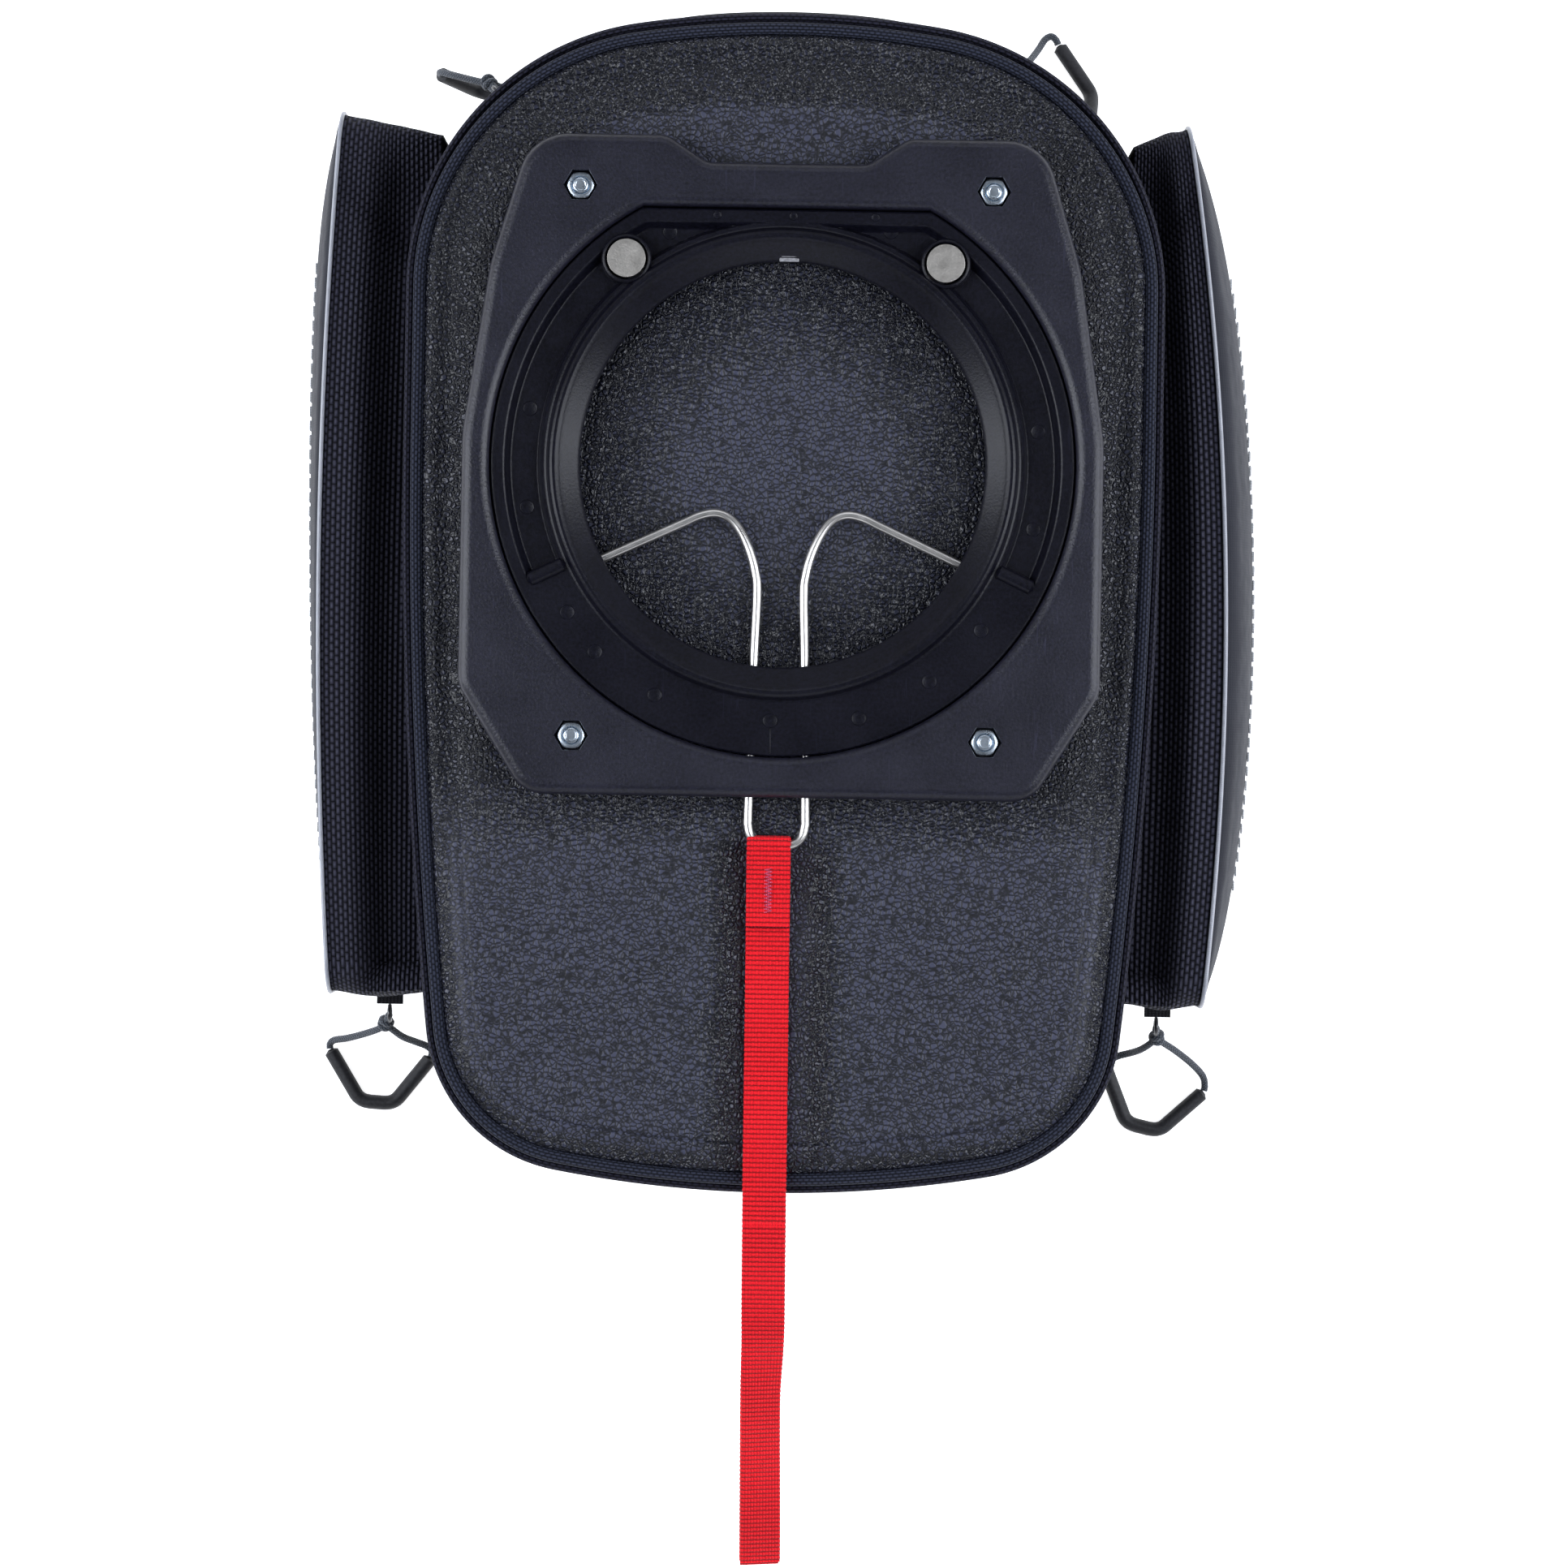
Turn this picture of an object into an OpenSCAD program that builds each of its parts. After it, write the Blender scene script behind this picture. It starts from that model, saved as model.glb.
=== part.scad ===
// Motorcycle tank bag with a quick-lock ring, lying on its lid, ring side up.
// Origin on the ring's axis at the plate's face. +Y is the front of the bag, +Z the outward side of the ring.

/* [Base] */
// Front end of the base, measured from the ring's axis
front_y = 145; // [142:1:148]
// Rear end of the base, measured from the ring's axis
rear_y = -231; // [-232:0.5:-230]
// Half of the base's greatest width
half_w = 121; // [118:0.5:123]
// Radius of the front edge
front_r = 304; // [280:2:330]
// Radius of the front shoulders
shoulder_r = 86; // [80:1:90]
// Radius of the long sides where they taper to the rear
side_r = 1745; // [1600:5:1900]
// Place along Y where the sides start to taper
taper_y = 10; // [0:1:20]
// Angle that the sides have turned through at the rear corners
side_turn = 6.27; // [6.1:0.01:6.4]
// Radius of the rear corners
corner_r = 50.5; // [48:0.5:52]

/* [Bag] */
// Height from the plate's face to the lid's outer face
bag_h = 170; // [165:1:180]
// Depth of the lid, from its zip to its outer face
lid_h = 20; // [18:1:24]
// Thickness of the woven walls
wall_t = 3; // [2:0.5:4]

/* [Plate and ring] */
// Thickness of the mounting plate
plate_t = 13; // [12.5:0.5:16]
// Outer radius of the lock ring
ring_r = 92; // [90:0.5:93]
// Radius of the lock ring's bore
bore_r = 64; // [60:0.5:66]
// Place along Y of the ring's flat chord
chord_y = 80; // [78:0.5:81]
// Diameter of the ring magnets
magnet_d = 12; // [10:0.5:12]
// Distance between the plate screws across the bag
screw_x = 130; // [128:1:132]
// Distance between the plate screws along the bag
screw_y = 173; // [171:1:175]

/* [Release] */
// Diameter of the spring wire
wire_d = 2.9; // [2.5:0.1:3]
// Width of the webbing strap
strap_w = 13.6; // [12:0.2:15]
// Thickness of one layer of webbing
web_t = 1.4; // [1.2:0.1:1.4]

/* [Pockets] */
// Height of the side pockets, across the wall
pocket_h = 95; // [90:1:96]
// Farthest reach of a pocket's outer panel from the bag's middle
pocket_reach = 156.6; // [150:0.2:160]

/* [Pulls] */
// Diameter of the braided cord
cord_d = 2.4; // [2:0.1:2.6]
// Diameter of the grips
grip_d = 5; // [4:0.1:5]

/* [Hidden] */
$fn = 48;

floor_z = -bag_h;
zip_z = floor_z + lid_h;
base_z = -plate_t;
slack = 0.2;
panel_t = 6;
board_t = 3;
board_z = base_z - panel_t - board_t;
lining_t = 1.2;
piping_h = 5;
piping_z = base_z - 4.5 - piping_h;
lining_z = piping_z - slack;

// Centres of the arcs that make the base outline
front_c = [0, front_y - front_r];
shoulder_x = half_w - shoulder_r;
shoulder_c = [shoulder_x, front_c[1] + sqrt(pow(front_r - shoulder_r, 2) - pow(shoulder_x, 2))];
side_c = [half_w - side_r, taper_y];
corner_c = side_c + (side_r - corner_r) * [cos(side_turn), -sin(side_turn)];
rear_q = rear_y + corner_r;
rear_cy = (pow(rear_q, 2) - pow(norm(corner_c), 2)) / (2 * (rear_q - corner_c[1]));
rear_r = rear_cy - rear_y;
front_a = atan2(shoulder_c[1] - front_c[1], shoulder_x);
rear_a = atan2(corner_c[1] - rear_cy, corner_c[0]);

function arc(c, r, a0, a1, n) = [for (i = [0:n]) let (a = a0 + (a1 - a0) * i / n) c + r * [cos(a), sin(a)]];
function mirrored(p) = [for (i = [len(p) - 1:-1:0]) [-p[i][0], p[i][1]]];

// Half of the base outline, from the rear's middle to the front's, moved inwards by d
function half_outline(d) = concat(
    arc([0, rear_cy], rear_r - d, -90, rear_a, 5),
    arc(corner_c, corner_r - d, rear_a, -side_turn, 9),
    arc(side_c, side_r - d, -side_turn, 0, 5),
    arc(shoulder_c, shoulder_r - d, 0, front_a, 12),
    arc(front_c, front_r - d, front_a, 90, 3));
function outline(d) = concat(half_outline(d), mirrored(half_outline(d)));

// One corner of a polygon, rounded to radius r
function fillet(p, q, s, r) =
    let (u = (p - q) / norm(p - q),
        v = (s - q) / norm(s - q),
        h = acos(u * v) / 2,
        c = q + (u + v) / norm(u + v) * r / sin(h),
        a = atan2((q + u * r / tan(h) - c)[1], (q + u * r / tan(h) - c)[0]),
        b = atan2((q + v * r / tan(h) - c)[1], (q + v * r / tan(h) - c)[0]),
        turn = b - a > 180 ? b - a - 360 : b - a < -180 ? b - a + 360 : b - a)
    arc(c, r, a, a + turn, 6);
function rounded(p) = [for (i = [0:len(p) - 1])
    let (q = p[i], a = p[(i + len(p) - 1) % len(p)], b = p[(i + 1) % len(p)])
    each fillet([a[0], a[1]], [q[0], q[1]], [b[0], b[1]], q[2])];

// Right half of the plate's corners: x, y and radius
plate_half = [[80, -105, 12], [101, -71, 12], [101, 8, 60], [93, 62, 60], [80.7, 103, 16], [38, 103, 8],
    [25, 94.5, 8]];
plate_corners = concat(plate_half, [for (i = [len(plate_half) - 1:-1:0])
    [-plate_half[i][0], plate_half[i][1], plate_half[i][2]]]);

module slab(d, z0, z1) {
    translate([0, 0, z0]) linear_extrude(z1 - z0) polygon(outline(d));
}
module band(d0, d1, z0, z1) {
    difference() {
        slab(d0, z0, z1);
        slab(d1, z0 - 1, z1 + 1);
    }
}
module disc(r, z0, z1) {
    translate([0, 0, z0]) cylinder(r = r, h = z1 - z0);
}
// Everything behind a place along Y
cutter = 400;
module behind(y) {
    translate([-cutter / 2, y - cutter, -cutter / 2]) cube(cutter);
}
module at_screws() {
    for (x = [-1, 1], y = [-1, 1]) translate([x * screw_x / 2, y * screw_y / 2, 0]) children();
}

// A tube along the points p, of radius r, with n sides
function unit(v) = v / norm(v);
function ring_at(p, i, r, n) =
    let (t = unit(p[min(i + 1, len(p) - 1)] - p[max(i - 1, 0)]),
        u = unit(cross(t, [0.35, 0.25, 0.9])),
        v = cross(t, u))
    [for (k = [0:n - 1]) p[i] + r * (cos(k * 360 / n) * u + sin(k * 360 / n) * v)];
module tube(p, r, n = 8) {
    last = len(p) - 1;
    polyhedron(
        points = [for (i = [0:last]) each ring_at(p, i, r, n)],
        faces = concat(
            [[for (k = [0:n - 1]) k]],
            [for (i = [0:last - 1], k = [0:n - 1]) each [
                [i * n + k, (i + 1) * n + k, (i + 1) * n + (k + 1) % n],
                [i * n + k, (i + 1) * n + (k + 1) % n, i * n + (k + 1) % n]]],
            [[for (k = [n - 1:-1:0]) last * n + k]]));
}

// Mounting plate: screwed to the base, with an opening for the lock ring
nut_pocket_r = 5.3;
nut_pocket_d = 5.5;
screw_hole_r = 2.75;
plate_gap = 2;
leg_slot_w = 26;
leg_slot_d = 4.2;
module mounting_plate() {
    color("#202228") difference() {
        translate([0, 0, -plate_t]) linear_extrude(plate_t) polygon(rounded(plate_corners));
        intersection() {
            disc(ring_r + plate_gap, -plate_t - 1, 1, $fn = 96);
            behind(chord_y + plate_gap);
        }
        at_screws() {
            disc(screw_hole_r, -plate_t - 1, 1);
            translate([0, 0, -nut_pocket_d]) cylinder(r = nut_pocket_r, h = nut_pocket_d + 1, $fn = 6);
        }
        translate([-leg_slot_w / 2, -ring_r - 20, -plate_t - 1]) cube([leg_slot_w, 30, leg_slot_d + 1]);
    }
}

// Lock ring: takes the tank ring in its bore and channel
ring_t = 9;
channel_r0 = 75;
channel_r1 = 86.6;
rim_r = 72.6;
ledge_z = -3;
channel_z = -6.5;
stop_a = -25.5;
stop_r = 2.25;
stop_l = 14;
stop_y = (channel_r0 + channel_r1) / 2 * sin(stop_a);
cup_a = 51.8;
cup_at = 81.2;
cup_r = 8;
skirt_t = 2.5;
skirt_gap = 32;
magnet_z = -5.2;
module at_cups() {
    for (a = [cup_a, 180 - cup_a]) rotate([0, 0, a]) translate([cup_at, 0, 0]) children();
}
module lock_ring() {
    color("#24262c") {
        difference() {
            union() {
                intersection() {
                    difference() {
                        union() {
                            disc(ring_r, -ring_t, 0, $fn = 96);
                            difference() {
                                disc(ring_r, -plate_t, -ring_t, $fn = 96);
                                disc(ring_r - skirt_t, -plate_t - 1, -ring_t, $fn = 96);
                            }
                        }
                        // Ledge, all round from the inner rim to the ring's edge
                        difference() {
                            disc(ring_r + 1, ledge_z, 1, $fn = 96);
                            disc(rim_r, ledge_z - 1, 2, $fn = 96);
                        }
                        // Channel, on the part above the stops
                        difference() {
                            disc(channel_r1, channel_z, 1, $fn = 96);
                            disc(channel_r0, channel_z - 1, 2, $fn = 96);
                            behind(stop_y);
                        }
                    }
                    behind(chord_y);
                }
                for (a = [stop_a, 180 - stop_a]) rotate([0, 0, a]) translate([channel_r0 - 1, 0, ledge_z])
                    rotate([0, 90, 0]) cylinder(r = stop_r, h = stop_l);
                intersection() {
                    at_cups() disc(cup_r, channel_z - 0.5, -1);
                    behind(chord_y);
                }
            }
            disc(bore_r, -plate_t - 2, 2, $fn = 96);
            at_cups() disc(magnet_d / 2 + 0.1, magnet_z, 1);
            translate([-skirt_gap / 2, -ring_r - 2, -plate_t - 1]) cube([skirt_gap, 10, plate_t - ring_t + 1]);
        }
    }
}

module ring_magnets() {
    color("silver") at_cups() disc(magnet_d / 2, magnet_z, -0.6);
}

// Fasteners: the nuts sit in the plate, the heads are inside the bag
nut_w = 8;
nut_t = 4;
thread_r = 2.45;
washer_t = 1.2;
washer_z = lining_z - lining_t - washer_t;
head_t = 3;
module hex_nuts() {
    color("silver") at_screws() difference() {
        translate([0, 0, -nut_pocket_d]) cylinder(r = nut_w / sqrt(3), h = nut_t, $fn = 6);
        disc(thread_r + 0.05, -nut_pocket_d - 1, 0);
    }
}
module plate_screws() {
    color("gray") at_screws() {
        disc(thread_r, washer_z, -0.9);
        disc(4.6, washer_z - head_t, washer_z);
    }
}
module screw_washers() {
    color("gray") at_screws() difference() {
        disc(6.5, washer_z, washer_z + washer_t);
        disc(thread_r + 0.2, washer_z - 1, washer_z + washer_t + 1);
    }
}

// Base: moulded panel, stiffener board behind it, piping round its edge
rim_in = 6;
face_in = 16;
rim_drop = 3;
trough_w = 20;
trough_d = 2;
piping_w = 5.5;
module base_panel() {
    color("#2c2e33") difference() {
        union() {
            slab(rim_in, base_z - panel_t, base_z - rim_drop);
            slab(face_in, base_z - rim_drop, base_z);
        }
        at_screws() disc(screw_hole_r, base_z - panel_t - 1, base_z + 1);
        translate([-trough_w / 2, rear_y - 5, base_z - trough_d]) cube([trough_w, 121, 10]);
    }
}
module base_stiffener() {
    color("#3a3a3a") difference() {
        slab(12, board_z, board_z + board_t);
        at_screws() disc(screw_hole_r, board_z - 1, board_z + board_t + 1);
    }
}
module base_piping() {
    color("#24262a") band(0, piping_w, piping_z, piping_z + piping_h);
}
wall_in = 1.5;
module side_wall() {
    color("#1c1d21") band(wall_in, wall_in + wall_t, zip_z + 2, piping_z - slack);
}
module inner_lining() {
    color("#50545a") difference() {
        slab(wall_in + wall_t + slack, zip_z + 2, lining_z);
        slab(wall_in + wall_t + slack + lining_t, zip_z + 1, lining_z - lining_t);
        at_screws() disc(screw_hole_r, lining_z - lining_t - 1, lining_z + 1);
    }
}

// Zips round the wall. The main zip stops short of the fabric hinge at the front.
tape_in = 1.3;
tape_w = 5.8;
hinge_w = 124;
expansion_z = -124;
module hinge_gap() {
    translate([-hinge_w / 2, 100, floor_z - 1]) cube([hinge_w, 60, 60]);
}
module main_zip_tape() {
    color("#141518") difference() {
        band(slack, tape_in, zip_z + slack, zip_z + tape_w);
        hinge_gap();
    }
}
module lid_zip_tape() {
    color("#141518") difference() {
        band(slack, tape_in, zip_z - tape_w, zip_z - slack);
        hinge_gap();
    }
}
module expansion_zip() {
    color("#141518") band(slack, tape_in, expansion_z - 4, expansion_z + 4);
}
// A strip of the front arc, r0 to r1 beyond the outline, to the given half angle
module front_strip(r0, r1, half_a, z0, z1) {
    translate([0, 0, z0]) linear_extrude(z1 - z0)
        polygon(concat(arc(front_c, front_r + r1, 90 - half_a, 90 + half_a, 10),
            arc(front_c, front_r + r0, 90 + half_a, 90 - half_a, 10)));
}
flap_a = 11;
module lid_hinge_flap() {
    color("#1c1d21") front_strip(-1.3, 0.6, flap_a, zip_z + slack, zip_z + 12);
}
handle_a = 9;
handle_end_a = 11.5;
handle_z = -108;
handle_w = 24;
handle_out = 7.5;
handle_t = 2.4;
module carry_handle() {
    color("#1a1b1e") {
        front_strip(handle_out, handle_out + handle_t, handle_a, handle_z, handle_z + handle_w);
        for (s = [-1, 1]) translate([0, 0, handle_z]) linear_extrude(handle_w) polygon([
            front_c + (front_r + handle_out + handle_t) * [s * sin(handle_a - 0.1), cos(handle_a - 0.1)],
            front_c + (front_r + handle_out) * [s * sin(handle_a - 0.1), cos(handle_a - 0.1)],
            front_c + (front_r - wall_in) * [s * sin(handle_end_a - 0.8), cos(handle_end_a - 0.8)],
            front_c + (front_r - wall_in) * [s * sin(handle_end_a), cos(handle_end_a)]]);
    }
}

// Side pockets, drawn for the right side
pocket_top = -45;
pocket_z = pocket_top - pocket_h;
pocket_front = 114;
pocket_rear = -170;
skin_t = 2.5;
panel_arc_r = 782;
panel_arc_y = -38;
seam_r = 1080;
seam_y = -45;
seam_x = 143.5;
belly_r = 93.3;
belly_z = pocket_top - pocket_h / 2;
// x of the panel's face and of the seam at a place along Y
function panel_x(y, d) = pocket_reach - panel_arc_r + sqrt(pow(panel_arc_r, 2) - pow(y - panel_arc_y, 2)) - d;
function seam_at(y, d) = seam_x - seam_r + sqrt(pow(seam_r, 2) - pow(y - seam_y, 2)) - d;
function steps(y0, y1, n) = [for (i = [0:n]) y0 + (y1 - y0) * i / n];
module pocket_body(d) {
    difference() {
        intersection() {
            translate([0, 0, pocket_z + d]) linear_extrude(pocket_h - 2 * d) polygon(concat(
                [[90, 103 - d], [90, -163 + d]],
                [for (y = steps(pocket_rear + d, pocket_front - d, 14)) [panel_x(y, d), y]]));
            translate([pocket_reach - belly_r, 0, belly_z]) rotate([90, 0, 0])
                cylinder(r = belly_r - d, h = 400, center = true, $fn = 96);
        }
        slab(-0.5 - d, pocket_z - 5, 0);
    }
}
module seam_region(d, z0, z1) {
    translate([0, 0, z0]) linear_extrude(z1 - z0) polygon(concat([[80, 130], [80, -190]],
        [for (y = steps(-190, 130, 10)) [seam_at(y, d), y]]));
}
module pocket_shell() {
    difference() {
        pocket_body(0);
        pocket_body(skin_t);
    }
}
module pocket_gusset() {
    intersection() {
        pocket_shell();
        seam_region(0, pocket_z - 5, 0);
    }
}
module pocket_panel() {
    difference() {
        pocket_shell();
        seam_region(0, pocket_z - 5, 0);
    }
}
pipe_w = 2.4;
module pocket_piping() {
    for (z = [pocket_top + 0.05, pocket_z - 2.05]) intersection() {
        difference() {
            seam_region(-pipe_w / 2, z, z + 2);
            seam_region(pipe_w / 2, z - 1, z + 3);
        }
        translate([100, pocket_rear + 3, z - 1]) cube([60, pocket_front - pocket_rear - 6, 4]);
    }
}
pocket_zip_x = 131;
pocket_zip_w = 9;
pocket_zip_y0 = -178;
pocket_zip_y1 = 56;
module pocket_zip() {
    translate([pocket_zip_x - pocket_zip_w / 2, pocket_zip_y0, pocket_z - 1.4])
        cube([pocket_zip_w, pocket_zip_y1 - pocket_zip_y0, 1.3]);
}
module left() {
    mirror([1, 0, 0]) children();
}
module pocket_gusset_right() { color("#17181b") pocket_gusset(); }
module pocket_gusset_left() { color("#17181b") left() pocket_gusset(); }
module pocket_panel_right() { color("#4a4b52") pocket_panel(); }
module pocket_panel_left() { color("#4a4b52") left() pocket_panel(); }
module pocket_piping_right() { color("#c8cbd2") pocket_piping(); }
module pocket_piping_left() { color("#c8cbd2") left() pocket_piping(); }
module pocket_zip_right() { color("#141518") pocket_zip(); }
module pocket_zip_left() { color("#141518") left() pocket_zip(); }

// Release: spring wire that slides to the rear under the ring, and the strap that pulls it
wire_z = -11;
wire_half = [[0, -120], [4, -120], [7.6, -118.2], [9, -114], [9, -109], [8.1, -64], [7.2, -38], [9.5, -28],
    [13.5, -20], [17, -16.2], [21, -15], [25.5, -16], [31, -18.6], [72, -37.5]];
module wire_clip() {
    right = [for (p = wire_half) [p[0], p[1], wire_z]];
    color("silver") tube(concat(backwards([for (p = right) [-p[0], p[1], p[2]]]),
        [for (i = [1:len(right) - 1]) right[i]]), wire_d / 2, 12);
}
// Middle line of the doubled webbing, as y and z
strap_route = [[-123, -13.4], [-228, -13.4], [-240, -13.9], [-255, -15.8], [-270, -18.8], [-285, -22.8],
    [-300, -27.4], [-315, -32.6], [-330, -38.2], [-345, -44.2], [-352, -47.2]];
function along(p, i) =
    let (d = p[min(i + 1, len(p) - 1)] - p[max(i - 1, 0)])
    d / norm(d);
function beside(p, d) = [for (i = [0:len(p) - 1]) p[i] + d * [-along(p, i)[1], along(p, i)[0]]];
function backwards(p) = [for (i = [len(p) - 1:-1:0]) p[i]];
wire_rear = -120;
fold_w = 8;
// Side views of the tucked end and of the layer below it, as y and z, where they leave the fold round the wire
flap_side = [[-120.4, wire_z + 2.8], [-120.4, wire_z + 1.7], [-127, -12.2], [-145.7, -12.2], [-145.7, -10.6],
    [-128, -10.6]];
under_side = [[-120.4, wire_z - 2.8], [-120.4, wire_z - 1.7], [-124.5, -12.2], [-124.5, -14.6]];
module across(w) {
    rotate([90, 0, 90]) translate([0, 0, -w / 2]) linear_extrude(w) children();
}
module pull_strap() {
    color("#c01018") {
        across(strap_w) polygon(concat(beside(strap_route, web_t), backwards(beside(strap_route, -web_t))));
        across(fold_w) translate([wire_rear, wire_z]) difference() {
            circle(r = wire_d / 2 + web_t + 0.05);
            circle(r = wire_d / 2 + 0.05);
        }
        across(strap_w) polygon(flap_side);
        across(strap_w) polygon(under_side);
    }
}

// Lid, on the far side of the bag from the ring
lid_edge_z = floor_z + 6;
lid_step_z = lid_edge_z + 3;
lid_crown_in = 10;
module lid_panel() {
    color("#26272b") {
        slab(lid_crown_in, floor_z, lid_edge_z + 0.1);
        slab(wall_in, lid_edge_z, lid_step_z);
    }
}
module lid_gusset() {
    color("#1c1d21") band(wall_in, wall_in + wall_t, lid_step_z, zip_z - slack);
}
module lid_piping() {
    color("#24262a") band(0, tape_in, lid_edge_z + 0.2, lid_edge_z + 3.2);
}
module lid_lining() {
    color("#50545a") difference() {
        slab(wall_in + wall_t + slack, lid_step_z, zip_z - slack);
        slab(wall_in + wall_t + slack + lining_t, lid_step_z + lining_t, zip_z + 5);
    }
}

// Sliders. A curved-zip slider is drawn at an angle round a shoulder's centre.
slider_l = 12;
slider_w = 8;
slider_t = 4.5;
slider_off = 1.2;
main_a = 62;
expansion_a = 130.5;
module slider_body() {
    difference() {
        union() {
            translate([-slider_w / 2, -slider_l / 2, 0]) cube([slider_w, slider_l, slider_t - 1.5]);
            translate([-1.5, -slider_l / 2 + 1, 0]) cube([3, slider_l - 2, slider_t]);
        }
        translate([-5, -slider_l / 2 + 3, slider_t - 2.6]) cube([10, slider_l - 6, 1.4]);
    }
}
// Lays the slider against a shoulder: its length along the wall, its back to the bag
module on_shoulder(c, a, z) {
    translate([c[0], c[1], z]) rotate([0, 0, a]) translate([shoulder_r + slider_off, 0, 0])
        rotate([0, 90, 0]) children();
}
module main_slider() {
    color("#2a2c30") on_shoulder(shoulder_c, main_a, zip_z) slider_body();
}
module expansion_slider() {
    color("#2a2c30") on_shoulder([-shoulder_c[0], shoulder_c[1]], expansion_a, expansion_z) slider_body();
}
pocket_slider_y = -172;
module pocket_slider() {
    translate([pocket_zip_x, pocket_slider_y, pocket_z - 1.8]) rotate([180, 0, 0]) slider_body();
}
module pocket_slider_right() { color("#2a2c30") pocket_slider(); }
module pocket_slider_left() { color("#2a2c30") left() pocket_slider(); }

// Zip pulls. Each has a wire eye, a knot, two legs of cord and a grip.
// eye: its centre, knot: its centre, mid: middle of the grip's open side, side: unit vector to its first end,
// down: unit vector to its closed side.
eye_r = 2.6;
eye_wire_r = 0.7;
knot_r = 3;
grip_half = 17.6;
grip_bend = 5.8;
grip_deep = 17;
main_eye = [78.8, 141, -150];
main_knot = [80, 146, -152];
main_mid = [91.4, 143.7, -155.8];
main_side = [0.089, 0.756, -0.648];
main_down = [0.758, -0.472, -0.449];
expansion_eye = [-98.6, 131.4, -124.6];
expansion_knot = [-102, 135.4, -129.5];
expansion_mid = [-103, 136.5, -149.5];
expansion_side = [-0.966, 0.256, 0];
expansion_down = [0, 0, -1];
left_eye = [-131.4, -181.4, -145.2];
left_knot = [-133, -184.8, -149.8];
left_mid = [-136, -196.4, -167.2];
left_side = [-0.998, 0.062, 0];
left_down = [-0.062, -0.998, 0];
right_eye = [131, -181.4, -145.2];
right_knot = [131.6, -185.2, -149.8];
right_mid = [132.4, -200.8, -167.2];
right_side = [0.973, -0.229, 0];
right_down = [-0.229, -0.973, 0];
// Cord legs from the knot to the grip's first and second end
main_leg_a = [[81, 148.4, -154], [83.4, 151.4, -159], [86, 155.4, -164], [88.2, 159, -166.6],
    [90.4, 160.2, -167.2], [92, 159, -167.2], [92.8, 157.4, -167.2]];
main_leg_b = [[82.4, 144.4, -150.6], [84.4, 140.6, -147.8], [85.8, 135.4, -144.6], [87.2, 132, -143],
    [88.8, 130.9, -143.2], [89.6, 130.5, -144.2]];
expansion_leg_a = [[-104.4, 136, -131.2], [-110, 137.6, -134.6], [-115.6, 139.4, -138.6],
    [-119.4, 140.8, -143.4], [-120, 141, -149.2]];
expansion_leg_b = [[-99.4, 134.8, -131.2], [-95, 133.8, -134], [-89.6, 132.9, -138.4],
    [-86.4, 132.1, -143.4], [-86, 132, -149.2]];
left_leg_a = [[-135, -186.8, -151], [-140.4, -189, -155.6], [-147, -191, -161.4],
    [-152, -192, -165.8], [-153.6, -193.4, -167.2], [-153.6, -195.1, -167.2]];
left_leg_b = [[-131.2, -187, -151], [-127.6, -190, -156.4], [-123.6, -192, -163.2],
    [-120, -193.6, -166.8], [-118.4, -195.2, -167.2], [-118.4, -197.2, -167.2]];
right_leg_a = [[133.6, -187, -151], [139, -190.4, -155.6], [145, -195, -161.4],
    [149, -199.2, -165.8], [149.9, -202.6, -167.2], [149.6, -204.5, -167.2]];
right_leg_b = [[130, -187.2, -151], [127, -189.8, -156.4], [124.2, -191.4, -163.4],
    [120, -192.8, -167], [116.4, -194.6, -167.2], [115.3, -196.8, -167.2]];

module pull_tab(eye, turn) {
    color("#2a2c30") translate(eye) rotate(turn) rotate_extrude($fn = 32) translate([eye_r, 0])
        circle(r = eye_wire_r, $fn = 16);
}
module pull_cord(knot, leg_a, leg_b) {
    color("#3c4450") {
        translate(knot) sphere(r = knot_r - 0.8, $fn = 10);
        tube(leg_a, cord_d / 2);
        tube(leg_b, cord_d / 2);
    }
}
module pull_grip(mid, side, down) {
    a = mid + grip_half * side;
    b = mid + grip_deep * down + grip_bend * side;
    c = mid + grip_deep * down - grip_bend * side;
    d = mid - grip_half * side;
    color("#1c1d20") tube([a, b, c, d], grip_d / 2, 12);
}
module main_pull_tab() { pull_tab(main_eye, [90, 0, main_a]); }
module expansion_pull_tab() { pull_tab(expansion_eye, [90, 0, expansion_a]); }
module left_pull_tab() { pull_tab(left_eye, [0, 90, 0]); }
module right_pull_tab() { pull_tab(right_eye, [0, 90, 0]); }
module main_pull_cord() { pull_cord(main_knot, main_leg_a, main_leg_b); }
module expansion_pull_cord() { pull_cord(expansion_knot, expansion_leg_a, expansion_leg_b); }
module left_pull_cord() { pull_cord(left_knot, left_leg_a, left_leg_b); }
module right_pull_cord() { pull_cord(right_knot, right_leg_a, right_leg_b); }
module main_pull_grip() { pull_grip(main_mid, main_side, main_down); }
module expansion_pull_grip() { pull_grip(expansion_mid, expansion_side, expansion_down); }
module left_pull_grip() { pull_grip(left_mid, left_side, left_down); }
module right_pull_grip() { pull_grip(right_mid, right_side, right_down); }

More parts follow.
